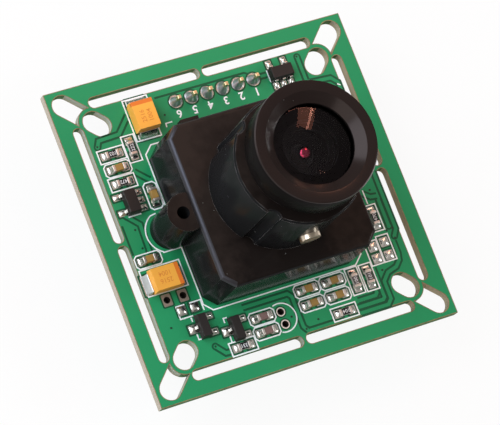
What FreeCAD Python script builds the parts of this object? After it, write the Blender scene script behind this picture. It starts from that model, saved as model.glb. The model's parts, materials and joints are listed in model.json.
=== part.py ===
import FreeCAD, Part
import Sketcher
import math
import os

# Board camera: a 38 mm circuit board with a break-away frame, a moulded holder and a screw-in lens.
# Origin: centre of the board's back face. +Z points out through the lens, +Y to the header's edge.
# Heights of the holder, the lens and the parts are measured from the board's top face.

V = FreeCAD.Vector
Z_AXIS = V(0, 0, 1)
X_AXIS = V(1, 0, 0)

doc = FreeCAD.newDocument("camera_module")
sheet = doc.addObject("Spreadsheet::Sheet", "sizes")

SIZES = {
    # circuit board and its break-away frame
    "board_margin": 9.2,
    "board_thickness": 1.2,
    "edge_slot_inset": 2.4,
    "edge_slot_width": 1.25,
    "edge_slot_end_gap": 2.6,
    "frame_tab": 0.4,
    "corner_slot_inset": 4.9,
    "corner_slot_width": 2.5,
    "corner_slot_straight_length": 0.95,
    "corner_web": 0.55,
    "frame_hole_inset": 1.8,
    "plated_hole_radius": 0.4,
    "service_hole_pitch": 2.0,
    "spare_cap_hole_pitch": 1.5,
    # moulded lens holder
    "holder_side": 19.6,
    "holder_corner_cut": 1.4,
    "holder_height": 7.6,
    "holder_edge_round": 0.6,
    "ear_centre_offset": 0.8,
    "ear_radius": 2.25,
    "ear_height": 7.0,
    "ear_hole_offset": 1.2,
    "ear_hole_radius": 0.8,
    "neck_wall": 1.5,
    "neck_height": 17.0,
    "neck_rim_edge": 0.2,
    "flute_radius": 0.9,
    "flute_depth": 0.5,
    "holder_wall": 1.4,
    "chamber_height": 5.0,
    "ledge_thickness": 0.8,
    "window_side": 7.0,
    "gate_nub_width": 2.2,
    "gate_nub_depth": 0.5,
    "gate_nub_height": 1.2,
    "gate_nub_inset": 3.7,
    "gate_nub_drop": 1.0,
    # set screw and the two screws that hold the holder
    "set_screw_radius": 1.2,
    "set_screw_gap": 0.05,
    "set_screw_height": 11.8,
    "set_screw_proud": 0.5,
    "set_screw_tip_gap": 0.1,
    "set_screw_slot_width": 0.35,
    "set_screw_slot_depth": 0.4,
    "holder_screw_radius": 0.75,
    "holder_screw_length": 5.2,
    "holder_screw_head_radius": 1.75,
    "holder_screw_head_height": 1.2,
    "holder_screw_recess_width": 0.45,
    "holder_screw_recess_span": 1.9,
    "holder_screw_recess_depth": 0.6,
    "screw_hole_gap": 0.3,
    # lens
    "lens_running_gap": 0.05,
    "barrel_wall": 0.75,
    "lens_head_overhang": 1.05,
    "lens_head_height": 5.8,
    "lens_head_thickness": 3.7,
    "lens_head_edge": 0.15,
    "lens_barrel_end": 8.0,
    "bevel_width": 1.15,
    "bevel_depth": 0.8,
    "lip_width": 0.55,
    "lip_thickness": 0.35,
    "element_radius": 5.15,
    "element_gap": 0.05,
    "front_rim_thickness": 1.4,
    "front_dome_gap": 0.15,
    "front_dome_curve": 14.0,
    "spacer_height": 1.6,
    "spacer_opening": 3.0,
    "middle_glass_thickness": 1.3,
    "stop_thickness": 0.3,
    "stop_opening": 1.1,
    "rear_glass_thickness": 3.0,
    "retainer_height": 1.4,
    "retainer_opening": 3.0,
    # filter and image sensor
    "filter_side": 8.5,
    "filter_thickness": 0.5,
    "filter_gap": 0.05,
    "sensor_side": 10.2,
    "sensor_height": 1.3,
    "sensor_glass_side": 8.2,
    "sensor_glass_thickness": 0.5,
    # header on the back, its pins and their solder on the top
    "header_pitch": 2.0,
    "header_middle_x": 0.8,
    "header_row_inset": 4.9,
    "header_shell_inset": 5.5,
    "header_end_margin": 1.95,
    "header_width": 4.5,
    "header_depth": 6.0,
    "header_wall": 0.6,
    "header_floor": 1.6,
    "pin_side": 0.5,
    "pin_gap": 0.05,
    "pin_hole_radius": 0.45,
    "pin_top_length": 1.7,
    "pin_back_length": 4.8,
    "joint_foot_radius": 0.78,
    "joint_tip_radius": 0.36,
    "joint_height": 1.25,
    # chip resistors and capacitors
    "chip_length": 1.6,
    "chip_width": 0.8,
    "chip_cap_length": 0.32,
    "chip_cap_step_height": 0.03,
    "chip_solder_length": 0.5,
    "resistor_height": 0.45,
    "capacitor_height": 0.75,
    # moulded tantalum capacitors
    "tantalum_length": 3.5,
    "tantalum_width": 2.8,
    "tantalum_height": 1.9,
    "tantalum_lean_width": 0.12,
    "tantalum_tab_width": 2.2,
    "tantalum_tab_height": 1.0,
    "tantalum_tab_length": 0.7,
    "tantalum_tab_top": 0.15,
    # small moulded packages with gull-wing leads
    "regulator_width": 1.6,
    "small_package_length": 2.9,
    "transistor_width": 1.3,
    "small_package_height": 1.0,
    "small_package_lift": 0.1,
    "small_package_lean_width": 0.12,
    "small_lead_width": 0.4,
    "small_lead_thickness": 0.15,
    "small_lead_shoulder": 0.55,
    "small_lead_length": 0.62,
    "regulator_pitch": 0.95,
    # solder left on bare pads
    "bare_pad_side": 0.95,
    "bare_pad_height": 0.16,
    "bare_pad_edge_width": 0.25,
    # processor, memory, clock crystal and capacitors on the back
    "processor_side": 7.0,
    "processor_height": 1.4,
    "processor_pitch": 0.8,
    "processor_lead_width": 0.35,
    "processor_lead_thickness": 0.14,
    "processor_lead_shoulder": 0.8,
    "processor_lead_length": 1.0,
    "processor_lift": 0.1,
    "processor_lean_width": 0.1,
    "memory_length": 2.9,
    "memory_width": 1.6,
    "memory_height": 1.1,
    "memory_pitch": 0.95,
    "memory_lead_width": 0.4,
    "memory_lead_thickness": 0.15,
    "memory_lead_shoulder": 0.55,
    "memory_lead_length": 0.62,
    "crystal_length": 5.0,
    "crystal_width": 3.2,
    "crystal_height": 1.1,
    "crystal_lean_width": 0.15,
}

# sizes that follow from others
FORMULAS = {
    "board_side": "holder_side + 2 * board_margin",
    "edge_slot_line": "board_side / 2 - edge_slot_inset",
    "edge_slot_length": "edge_slot_line - edge_slot_end_gap",
    "corner_slot_pitch": "board_side - 2 * corner_slot_inset",
    "frame_hole_pitch": "board_side - 2 * frame_hole_inset",
    "service_hole_x": "-holder_side / 2 - 4.05",
    "service_hole_y": "-holder_side / 2 + 2.25",
    "spare_cap_hole_x": "-holder_side / 2 + 8.25",
    "spare_cap_hole_y": "-holder_side / 2 - 4.4",
    "ear_centre_pitch": "holder_side + 2 * ear_centre_offset",
    "ear_hole_pitch": "holder_side + 2 * ear_hole_offset",
    "chamber_side": "holder_side - 2 * holder_wall",
    "element_bore": "element_radius + element_gap",
    "barrel_radius": "element_bore + barrel_wall",
    "bore_radius": "barrel_radius + lens_running_gap",
    "neck_radius": "bore_radius + neck_wall",
    "lens_head_radius": "barrel_radius + lens_head_overhang",
    "lens_head_front": "neck_height + lens_head_height",
    "aperture_radius": "element_radius - lip_width",
    "bevel_radius": "aperture_radius + bevel_width",
    "front_dome_radius": "aperture_radius - front_dome_gap",
    "header_row_y": "board_side / 2 - header_row_inset",
    "header_shell_y": "board_side / 2 - header_shell_inset",
    "memory_x": "holder_side / 2 - 1.2",
    "memory_y": "-holder_side / 2 - 1.4",
    "crystal_x": "-holder_side / 2 + 0.6",
    "crystal_y": "-holder_side / 2 + 0.6",
}

# Centre of each small part on the board, and its turn about Z in degrees (0: its ends lie along X).
# A part that lies out from the holder is placed from the holder's side, half of holder_side.
RESISTORS = [
    ("-side - 4.0", "side + 0.4", 0),
    ("-side - 1.5", "side + 0.45", 90),
    ("-side - 3.95", "side - 3.05", 0),
    ("-side + 2.55", "-side - 5.35", 0),
    ("side - 4.0", "-side - 5.15", 0),
    ("side - 1.4", "-side - 2.1", 90),
    ("side + 0.4", "-side - 2.15", 90),
    ("side + 3.7", "-side + 4.2", 90),
]
CAPACITORS = [
    ("-side - 3.9", "side - 1.35", 0),
    ("-side - 1.1", "4.35", 90),
    ("-side - 4.4", "-side + 7.25", 0),
    ("side - 7.35", "-side - 1.35", 0),
    ("side - 4.05", "-side - 1.35", 0),
    ("side - 7.35", "-side - 3.1", 0),
    ("side - 4.05", "-side - 3.1", 0),
    ("-side + 5.9", "-side - 2.85", 0),
    ("-side + 5.85", "-side - 4.55", 0),
]
BACK_CAPACITORS = [
    ("-side + 0.8", "2.9", 90),
    ("-side + 0.8", "-2.9", 90),
    ("3.0", "side - 1.8", 0),
    ("-3.0", "side - 1.8", 0),
    ("0.0", "-side + 1.8", 0),
]
TANTALUMS = [
    ("-side + 0.93", "side + 3.5", 90),
    ("-side - 3.65", "-side + 4.5", 0),
]
# the turn puts the two-lead side of a regulator, or the one-lead side of a transistor, at local -X
REGULATORS = [
    ("-side - 4.0", "side - 5.5", 0),
    ("side - 0.6", "side + 4.15", -90),
]
TRANSISTORS = [
    ("-side - 1.25", "-side - 1.8", 0),
    ("-side + 2.4", "-side - 3.2", 0),
]
BARE_PADS = [
    ("-side - 2.85", "-side + 0.6", 0),
    ("-side - 1.25", "-side + 0.6", 0),
    ("side + 2.2", "-side + 1.0", 0),
    ("side + 2.2", "-side - 0.4", 0),
    ("side + 3.8", "-side + 1.2", 0),
    ("side + 3.8", "-side - 0.4", 0),
]
HEADER_PIN_COUNT = 6
MEMORY_LEAD_COUNT = 3
PROCESSOR_LEAD_COUNT = 8

PLACES = {
    "resistor": RESISTORS,
    "capacitor": CAPACITORS,
    "back_capacitor": BACK_CAPACITORS,
    "tantalum": TANTALUMS,
    "regulator": REGULATORS,
    "transistor": TRANSISTORS,
    "bare_pad": BARE_PADS,
}
for kind, places in PLACES.items():
    for number, (x, y, turn) in enumerate(places, 1):
        FORMULAS[f"{kind}_{number}_x"] = x.replace("side", "holder_side / 2")
        FORMULAS[f"{kind}_{number}_y"] = y.replace("side", "holder_side / 2")

for row, (name, size) in enumerate(SIZES.items(), 1):
    sheet.set(f"A{row}", name)
    sheet.set(f"B{row}", str(size))
    sheet.setAlias(f"B{row}", name)
for row, (name, formula) in enumerate(FORMULAS.items(), len(SIZES) + 1):
    sheet.set(f"A{row}", name)
    sheet.set(f"B{row}", f"={formula}")
    sheet.setAlias(f"B{row}", name)
doc.recompute()

BOARD_TOP = "sizes.board_thickness"
HOLDER_TOP = "(sizes.board_thickness + sizes.holder_height)"
NECK_TOP = "(sizes.board_thickness + sizes.neck_height)"
CHAMBER_TOP = "(sizes.board_thickness + sizes.chamber_height)"
FILTER_TOP = f"({CHAMBER_TOP} + sizes.filter_thickness + sizes.filter_gap)"
LEDGE_TOP = f"({FILTER_TOP} + sizes.ledge_thickness)"
LENS_FRONT = "(sizes.board_thickness + sizes.lens_head_front)"
LENS_SHOULDER = f"({LENS_FRONT} - sizes.lens_head_thickness)"
BARREL_END = "(sizes.board_thickness + sizes.lens_barrel_end)"
FRONT_SEAT = f"({LENS_FRONT} - sizes.bevel_depth - sizes.lip_thickness)"
SPACER_TOP = f"({FRONT_SEAT} - sizes.front_rim_thickness)"
MIDDLE_TOP = f"({SPACER_TOP} - sizes.spacer_height)"
STOP_TOP = f"({MIDDLE_TOP} - sizes.middle_glass_thickness)"
REAR_TOP = f"({STOP_TOP} - sizes.stop_thickness)"
RETAINER_TOP = f"({REAR_TOP} - sizes.rear_glass_thickness)"

# a lead's knee and heel, as shares of its length, and the step in of its lower bends, in its thickness
LEAD_KNEE = 0.25
LEAD_HEEL = 0.5
LEAD_BEND_STEP = 0.6
# sides of a drilled hole
HOLE_SIDES = 6

nodes = []


def number_of(expression):
    return float(sheet.evalExpression(expression.replace("sizes.", "")))


def origin_feature(body, role):
    return next(item for item in body.Origin.OriginFeatures if item.Role == role)


def new_body(label):
    body = doc.addObject("PartDesign::Body", label)
    body.Label = label
    nodes.append(body)
    return body


def new_sketch(body, name, plane="XY_Plane", offset=None, turn=0):
    """An empty sketch on one of the body's own planes, moved along its normal and turned on it."""
    sketch = body.newObject("Sketcher::SketchObject", name)
    sketch.AttachmentSupport = (origin_feature(body, plane), [""])
    sketch.MapMode = "FlatFace"
    sketch.AttachmentOffset = FreeCAD.Placement(V(0, 0, 0), FreeCAD.Rotation(Z_AXIS, turn))
    if offset:
        sketch.setExpression("AttachmentOffset.Base.z", offset)
    return sketch


def bind(sketch, constraint, expression):
    sketch.setExpression(f"Constraints[{sketch.addConstraint(constraint)}]", expression)


def pin_point(sketch, geometry, position, x, y):
    """Ties a point of the sketch to two expressions; the text 0 puts it on an axis."""
    for axis, line, expression in (("DistanceX", -2, x), ("DistanceY", -1, y)):
        if expression == "0":
            sketch.addConstraint(Sketcher.Constraint("PointOnObject", geometry, position, line))
        else:
            bound = Sketcher.Constraint(axis, geometry, position, number_of(expression))
            bind(sketch, bound, expression)


def circle(sketch, x, y, radius):
    centre = V(number_of(x), number_of(y), 0)
    index = sketch.addGeometry(Part.Circle(centre, Z_AXIS, number_of(radius)), False)
    pin_point(sketch, index, 3, x, y)
    bind(sketch, Sketcher.Constraint("Radius", index, number_of(radius)), radius)


def outline(sketch, corners):
    """A closed outline. A third item makes the side that leaves a corner an arc of that radius,
    which bulges to the right of the way it runs, or to the left with a minus sign in front."""
    points = [V(number_of(corner[0]), number_of(corner[1]), 0) for corner in corners]
    ends = []
    for index, corner in enumerate(corners):
        start = points[index]
        end = points[(index + 1) % len(points)]
        if len(corner) == 2:
            side = sketch.addGeometry(Part.LineSegment(start, end), False)
            ends.append((side, 1, 2))
            continue
        left = corner[2].startswith("-")
        radius = number_of(corner[2].lstrip("-"))
        run = end - start
        across = V(run.y, -run.x, 0).normalize() * (-1 if left else 1)
        sag = radius - math.sqrt(radius**2 - (run.Length / 2) ** 2)
        arc = Part.Arc(start, (start + end) / 2 + across * sag, end)
        side = sketch.addGeometry(arc, False)
        forward = sketch.getPoint(side, 1).distanceToPoint(start) < sag / 4
        ends.append((side, 1, 2) if forward else (side, 2, 1))
        bind(sketch, Sketcher.Constraint("Radius", side, radius), corner[2].lstrip("-"))
    for index, corner in enumerate(corners):
        before = ends[index - 1]
        here = ends[index]
        sketch.addConstraint(Sketcher.Constraint("Coincident", before[0], before[2], here[0], here[1]))
        pin_point(sketch, here[0], here[1], corner[0], corner[1])


def rectangle(sketch, x0, x1, y0, y1):
    outline(sketch, [(x0, y0), (x1, y0), (x1, y1), (x0, y1)])


def centred_square(sketch, side):
    rectangle(sketch, f"-{side} / 2", f"{side} / 2", f"-{side} / 2", f"{side} / 2")


def polygon(sketch, x, y, radius, sides):
    """A regular outline of that many sides; the radius reaches the middle of a side."""
    step = 360 / sides
    corner = f"{radius} / cos({step / 2})"
    corners = []
    for number in range(sides):
        angle = step * (number + 1 / 2)
        corners.append((f"{x} + {corner} * cos({angle})", f"{y} + {corner} * sin({angle})"))
    outline(sketch, corners)


def obround(sketch, x0, x1, y, radius, web_radius=None):
    """Two arcs joined by lines along X. A web radius turns the left end to a hollow one."""
    r = number_of(radius)
    left_x = number_of(x0)
    right_x = number_of(x1)
    level = number_of(y)
    left_r = number_of(web_radius) if web_radius else r
    reach = math.sqrt(left_r**2 - r**2) if web_radius else 0
    spread = math.atan2(r, reach)
    right = sketch.addGeometry(
        Part.ArcOfCircle(Part.Circle(V(right_x, level, 0), Z_AXIS, r), -math.pi / 2, math.pi / 2), False
    )
    turn = (-spread, spread) if web_radius else (math.pi / 2, 3 * math.pi / 2)
    left = sketch.addGeometry(
        Part.ArcOfCircle(Part.Circle(V(left_x, level, 0), Z_AXIS, left_r), *turn), False
    )
    upper = sketch.addGeometry(
        Part.LineSegment(V(right_x, level + r, 0), V(left_x + reach, level + r, 0)), False
    )
    lower = sketch.addGeometry(
        Part.LineSegment(V(left_x + reach, level - r, 0), V(right_x, level - r, 0)), False
    )
    sketch.addConstraint(Sketcher.Constraint("Tangent", right, 2, upper, 1))
    sketch.addConstraint(Sketcher.Constraint("Tangent", lower, 2, right, 1))
    upper_end, lower_end = (2, 1) if web_radius else (1, 2)
    joint = "Coincident" if web_radius else "Tangent"
    sketch.addConstraint(Sketcher.Constraint(joint, upper, 2, left, upper_end))
    sketch.addConstraint(Sketcher.Constraint(joint, left, lower_end, lower, 1))
    sketch.addConstraint(Sketcher.Constraint("Horizontal", upper))
    sketch.addConstraint(Sketcher.Constraint("Horizontal", lower))
    pin_point(sketch, right, 3, x1, y)
    bind(sketch, Sketcher.Constraint("Radius", right, r), radius)
    if web_radius:
        pin_point(sketch, left, 3, x0, y)
        bind(sketch, Sketcher.Constraint("Radius", left, left_r), web_radius)
    else:
        bind(sketch, Sketcher.Constraint("DistanceX", left, 3, left_x), x0)


def pad(body, sketch, name, length, reverse=False, both_ways=False):
    feature = body.newObject("PartDesign::Pad", name)
    feature.Profile = sketch
    feature.setExpression("Length", length)
    feature.Reversed = reverse
    if both_ways:
        feature.SideType = "Symmetric"
    doc.recompute()
    return feature


def pocket(body, sketch, name, depth=None, along_normal=False):
    """Cuts against the sketch's normal, or along it, and stops if nothing was cut."""
    before = body.Shape.Volume
    feature = body.newObject("PartDesign::Pocket", name)
    feature.Profile = sketch
    if depth:
        feature.setExpression("Length", depth)
    else:
        feature.Type = "ThroughAll"
    feature.Reversed = along_normal
    doc.recompute()
    if not body.Shape.Volume < before:
        raise RuntimeError(f"{name} cuts nothing")
    return feature


def turned(label, corners):
    """A body of revolution about Z from corners given as radius and height."""
    body = new_body(label)
    sketch = new_sketch(body, f"{label}_profile", "XZ_Plane")
    outline(sketch, corners)
    feature = body.newObject("PartDesign::Revolution", f"{label}_turning")
    feature.Profile = sketch
    feature.ReferenceAxis = (sketch, ["V_Axis"])
    feature.Angle = 360
    doc.recompute()
    return body


def ring_of(body, feature, name, count):
    pattern = body.newObject("PartDesign::PolarPattern", name)
    pattern.Originals = [feature]
    pattern.Axis = (origin_feature(body, "Z_Axis"), [""])
    pattern.Angle = 360
    pattern.Occurrences = count
    body.Tip = pattern
    doc.recompute()
    return pattern


def row_of(body, features, name, axis, pitch, count):
    """Repeats features along one of the body's axes, a pitch apart."""
    pattern = body.newObject("PartDesign::LinearPattern", name)
    pattern.Originals = features
    pattern.Direction = (origin_feature(body, axis), [""])
    pattern.Mode = "Spacing"
    pattern.Occurrences = count
    pattern.setExpression("Offset", pitch)
    body.Tip = pattern
    doc.recompute()


def dress_edges(body, name, kind, size, test):
    """Rounds (kind Fillet) or bevels (kind Chamfer) the edges whose box passes the test."""
    edges = [f"Edge{i}" for i, edge in enumerate(body.Shape.Edges, 1) if test(edge.BoundBox)]
    base = body.Tip
    feature = body.newObject(f"PartDesign::{kind}", name)
    feature.Base = (base, edges)
    feature.setExpression("Radius" if kind == "Fillet" else "Size", size)
    doc.recompute()


def block(label, base, top, width, top_width, height, place, turn=0, back=False):
    """A solid with a flat base and a smaller flat top. base and top are its ends along X.
    It stands on place, is turned about Z, and hangs down instead on the back of the board."""
    solid = doc.addObject("Part::Wedge", label)
    solid.Label = label
    bounds = {
        "Xmin": base[0],
        "Xmax": base[1],
        "X2min": top[0],
        "X2max": top[1],
        "Ymin": "0",
        "Ymax": height,
        "Zmin": f"-{width} / 2",
        "Zmax": f"{width} / 2",
        "Z2min": f"-({top_width}) / 2",
        "Z2max": f"({top_width}) / 2",
    }
    for name, expression in bounds.items():
        solid.setExpression(name, expression)
    upright = FreeCAD.Rotation(X_AXIS, -90 if back else 90)
    solid.Placement = FreeCAD.Placement(V(0, 0, 0), FreeCAD.Rotation(Z_AXIS, turn) * upright)
    for axis, expression in zip("xyz", place):
        solid.setExpression(f"Placement.Base.{axis}", expression)
    return solid


def group(label, members):
    compound = doc.addObject("Part::Compound", label)
    compound.Label = label
    compound.Links = members
    nodes.append(compound)
    return compound


def place_of(kind, number, level=BOARD_TOP):
    return (f"sizes.{kind}_{number}_x", f"sizes.{kind}_{number}_y", level)


def end_blocks(name, inner, foot, crest, width, height, place, turn, back=False):
    """The two mirrored ends of a part: upright inside at inner, sloping from crest out to foot."""
    right = block(f"{name}_right", (inner, foot), (inner, crest), width, width, height, place, turn, back)
    ends = [f"-({end})" for end in (foot, inner, crest, inner)]
    left = block(f"{name}_left", ends[:2], ends[2:], width, width, height, place, turn, back)
    return [left, right]


def gull_row(body, name, side, count, pitch, body_width, size, plane="XZ_Plane"):
    """One row of gull-wing leads on the side (1 or -1) of a package, each bent down to its foot.
    size is the prefix of the lead's thickness, width, shoulder and length."""
    thick = f"sizes.{size}_lead_thickness"
    high = f"sizes.{size}_lead_shoulder"
    start = f"{body_width} / 2"
    knee = f"({start} + {LEAD_KNEE} * sizes.{size}_lead_length)"
    heel = f"({start} + {LEAD_HEEL} * sizes.{size}_lead_length)"
    toe = f"({start} + sizes.{size}_lead_length)"
    corners = [
        (start, f"{high} + {thick}"),
        (knee, f"{high} + {thick}"),
        (heel, thick),
        (toe, thick),
        (toe, "0"),
        (f"{heel} - {LEAD_BEND_STEP} * {thick}", "0"),
        (f"{knee} - {LEAD_BEND_STEP} * {thick}", high),
        (start, high),
    ]
    if side < 0:
        corners = [(f"-({x})", y) for x, y in corners]
    along = "Y_Axis" if plane == "XZ_Plane" else "X_Axis"
    first = f"({count} - 1) / 2 * {pitch}"
    offset = first if plane == "XZ_Plane" else f"-{first}"
    sketch = new_sketch(body, f"{name}_bend", plane, offset)
    outline(sketch, corners)
    lead = pad(body, sketch, f"{name}_lead", f"sizes.{size}_lead_width", both_ways=True)
    if count == 1:
        return
    row_of(body, [lead], f"{name}_row", along, pitch, count)


def place_body(body, place, turn=0, back=False):
    """Puts a package's leads on the board, or upside down on its back."""
    flip = FreeCAD.Rotation(X_AXIS, 180 if back else 0)
    body.Placement = FreeCAD.Placement(V(0, 0, 0), FreeCAD.Rotation(Z_AXIS, turn) * flip)
    for axis, expression in zip("xyz", place):
        body.setExpression(f"Placement.Base.{axis}", expression)


def is_level(box, height):
    return abs(box.ZMin - height) < 1e-4 and abs(box.ZMax - height) < 1e-4


def make_board():
    body = new_body("circuit_board")
    sketch = new_sketch(body, "board_outline")
    centred_square(sketch, "sizes.board_side")
    pad(body, sketch, "board_sheet", "sizes.board_thickness")
    half_slot = "sizes.edge_slot_width / 2"
    inner_end = f"sizes.frame_tab / 2 + {half_slot}"
    outer_end = f"sizes.frame_tab / 2 + sizes.edge_slot_length - {half_slot}"
    for side in ("", "-"):
        sketch = new_sketch(body, f"edge_slot_outline{len(side)}")
        ends = [f"{side}({inner_end})", f"{side}({outer_end})"]
        if side:
            ends.reverse()
        obround(sketch, ends[0], ends[1], "sizes.edge_slot_line", half_slot)
        cut = pocket(body, sketch, f"edge_slot{len(side)}", along_normal=True)
        ring_of(body, cut, f"edge_slots{len(side)}", 4)
    hole_r = "sizes.corner_slot_width / 2"
    middle = "sizes.corner_slot_pitch / 2 * sqrt(2)"
    sketch = new_sketch(body, "corner_slot_outline", turn=45)
    near = f"{middle} - sizes.corner_slot_straight_length / 2"
    far = f"{middle} + sizes.corner_slot_straight_length / 2"
    obround(sketch, near, far, "0", hole_r)
    cut = pocket(body, sketch, "corner_slot", along_normal=True)
    ring_of(body, cut, "corner_slots", 4)
    sketch = new_sketch(body, "frame_hole_outline", turn=45)
    web = f"{hole_r} + sizes.corner_web"
    obround(sketch, far, "sizes.frame_hole_pitch / 2 * sqrt(2)", "0", hole_r, web)
    cut = pocket(body, sketch, "frame_hole", along_normal=True)
    ring_of(body, cut, "frame_holes", 4)
    first_pin = f"sizes.header_middle_x - ({HEADER_PIN_COUNT} - 1) / 2 * sizes.header_pitch"
    screw_hole = "(sizes.holder_screw_radius + sizes.screw_hole_gap)"
    plated = "sizes.plated_hole_radius"
    drill_row(
        body,
        "pin_hole",
        (first_pin, "sizes.header_row_y", "sizes.pin_hole_radius"),
        ("X_Axis", "sizes.header_pitch", HEADER_PIN_COUNT),
    )
    drill_row(
        body,
        "holder_screw_hole",
        ("-sizes.ear_hole_pitch / 2", "0", screw_hole),
        ("X_Axis", "sizes.ear_hole_pitch", 2),
    )
    drill_row(
        body,
        "service_hole",
        ("sizes.service_hole_x", "sizes.service_hole_y", plated),
        ("X_Axis", "sizes.service_hole_pitch", 2),
    )
    drill_row(
        body,
        "spare_cap_hole",
        ("sizes.spare_cap_hole_x", "sizes.spare_cap_hole_y", plated),
        ("Y_Axis", "sizes.spare_cap_hole_pitch", 2),
    )


def drill_row(body, name, hole, row):
    """A row of drilled holes: the first hole's x, y and radius, and the row's axis, pitch and count."""
    sketch = new_sketch(body, f"{name}_outline")
    polygon(sketch, *hole, HOLE_SIDES)
    first = pocket(body, sketch, name, along_normal=True)
    row_of(body, [first], f"{name}_row", *row)


def make_holder():
    """Box with ears over the sensor, and a fluted neck whose bore takes the lens."""
    body = new_body("lens_holder")
    half = "sizes.holder_side / 2"
    cut = f"({half} - sizes.holder_corner_cut)"
    quarter = [(half, f"-{cut}"), (half, cut), (cut, half), (f"-{cut}", half)]
    opposite = [(f"-{half}", cut), (f"-{half}", f"-{cut}"), (f"-{cut}", f"-{half}"), (cut, f"-{half}")]
    sketch = new_sketch(body, "holder_box_outline", offset=BOARD_TOP)
    outline(sketch, quarter + opposite)
    pad(body, sketch, "holder_box", "sizes.holder_height")
    top = number_of(HOLDER_TOP)
    dress_edges(
        body, "holder_top", "Fillet", "sizes.holder_edge_round", lambda box: is_level(box, top)
    )
    sketch = new_sketch(body, "ear_outlines", offset=BOARD_TOP)
    for side in ("", "-"):
        circle(sketch, f"{side}sizes.ear_centre_pitch / 2", "0", "sizes.ear_radius")
    pad(body, sketch, "ears", "sizes.ear_height")
    sketch = new_sketch(body, "gate_nub_outline", "XZ_Plane", f"-{half} - sizes.gate_nub_depth")
    nub_x = "sizes.gate_nub_width / 2"
    nub_middle = f"-({half} - sizes.gate_nub_inset)"
    nub_top = f"{HOLDER_TOP} - sizes.gate_nub_drop"
    rectangle(
        sketch,
        f"{nub_middle} - {nub_x}",
        f"{nub_middle} + {nub_x}",
        f"{nub_top} - sizes.gate_nub_height",
        nub_top,
    )
    pad(body, sketch, "gate_nub", "sizes.gate_nub_depth * 2")
    sketch = new_sketch(body, "neck_outline", offset=HOLDER_TOP)
    circle(sketch, "0", "0", "sizes.neck_radius")
    pad(body, sketch, "neck", "sizes.neck_height - sizes.holder_height")
    sketch = new_sketch(body, "flute_outline", offset=NECK_TOP, turn=45)
    circle(
        sketch,
        "sizes.neck_radius - sizes.flute_depth + sizes.flute_radius",
        "0",
        "sizes.flute_radius",
    )
    flute = pocket(body, sketch, "flute", "sizes.neck_height - sizes.holder_height")
    ring_of(body, flute, "flutes", 4)
    rim = number_of(NECK_TOP)
    dress_edges(body, "neck_rim", "Chamfer", "sizes.neck_rim_edge", lambda box: is_level(box, rim))
    sketch = new_sketch(body, "bore_outline", offset=NECK_TOP)
    circle(sketch, "0", "0", "sizes.bore_radius")
    pocket(body, sketch, "bore", f"{NECK_TOP} - {LEDGE_TOP}")
    hollows = [
        ("chamber", "sizes.chamber_side", "sizes.chamber_height"),
        ("filter_seat", "(sizes.filter_side + 2 * sizes.filter_gap)", f"{FILTER_TOP} - {BOARD_TOP}"),
        ("window", "sizes.window_side", f"{LEDGE_TOP} - {BOARD_TOP}"),
    ]
    for name, side, depth in hollows:
        sketch = new_sketch(body, f"{name}_outline", offset=BOARD_TOP)
        centred_square(sketch, side)
        pocket(body, sketch, name, depth, along_normal=True)
    sketch = new_sketch(body, "ear_hole_outlines", offset=BOARD_TOP)
    for side in ("", "-"):
        circle(sketch, f"{side}sizes.ear_hole_pitch / 2", "0", "sizes.ear_hole_radius")
    pocket(body, sketch, "ear_holes", "sizes.holder_height", along_normal=True)
    sketch = new_sketch(body, "set_screw_hole_outline", "XZ_Plane")
    level = "sizes.board_thickness + sizes.set_screw_height"
    circle(sketch, "0", level, "sizes.set_screw_radius + sizes.set_screw_gap")
    pocket(body, sketch, "set_screw_hole", "sizes.holder_side", along_normal=True)


def make_set_screw():
    """Headless slotted screw in the neck; its tip stops just short of the lens thread."""
    body = new_body("set_screw")
    reach = "(sizes.neck_radius + sizes.set_screw_proud)"
    tip = "(sizes.bore_radius + sizes.set_screw_tip_gap)"
    sketch = new_sketch(body, "set_screw_outline", "XZ_Plane", tip)
    level = "sizes.board_thickness + sizes.set_screw_height"
    circle(sketch, "0", level, "sizes.set_screw_radius")
    pad(body, sketch, "set_screw_shank", f"{reach} - {tip}")
    sketch = new_sketch(body, "set_screw_slot_outline", "XZ_Plane", reach)
    rectangle(
        sketch,
        "-(sizes.set_screw_radius + sizes.set_screw_gap)",
        "sizes.set_screw_radius + sizes.set_screw_gap",
        f"{level} - sizes.set_screw_slot_width / 2",
        f"{level} + sizes.set_screw_slot_width / 2",
    )
    pocket(body, sketch, "set_screw_slot", "sizes.set_screw_slot_depth")


def make_holder_screw(number, side):
    """Cross-recess screw driven from the back of the board into an ear."""
    body = doc.addObject("PartDesign::Body", f"holder_screw_{number}")
    body.Label = f"holder_screw_{number}"
    sketch = new_sketch(body, f"screw_profile_{number}", "XZ_Plane")
    outline(
        sketch,
        [
            ("0", "sizes.holder_screw_length"),
            ("0", "-sizes.holder_screw_head_height"),
            ("sizes.holder_screw_head_radius", "-sizes.holder_screw_head_height"),
            ("sizes.holder_screw_head_radius", "0"),
            ("sizes.holder_screw_radius", "0"),
            ("sizes.holder_screw_radius", "sizes.holder_screw_length"),
        ],
    )
    feature = body.newObject("PartDesign::Revolution", f"screw_turning_{number}")
    feature.Profile = sketch
    feature.ReferenceAxis = (sketch, ["V_Axis"])
    feature.Angle = 360
    doc.recompute()
    long_half = "sizes.holder_screw_recess_span / 2"
    short_half = "sizes.holder_screw_recess_width / 2"
    for name, x, y in (("a", long_half, short_half), ("b", short_half, long_half)):
        sketch = new_sketch(
            body, f"recess_{name}_{number}", offset="-sizes.holder_screw_head_height"
        )
        rectangle(sketch, f"-{x}", x, f"-{y}", y)
        depth = "sizes.holder_screw_recess_depth"
        pocket(body, sketch, f"recess_cut_{name}_{number}", depth, along_normal=True)
    place_body(body, (f"{side}sizes.ear_hole_pitch / 2", "0", "0"))
    return body


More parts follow.
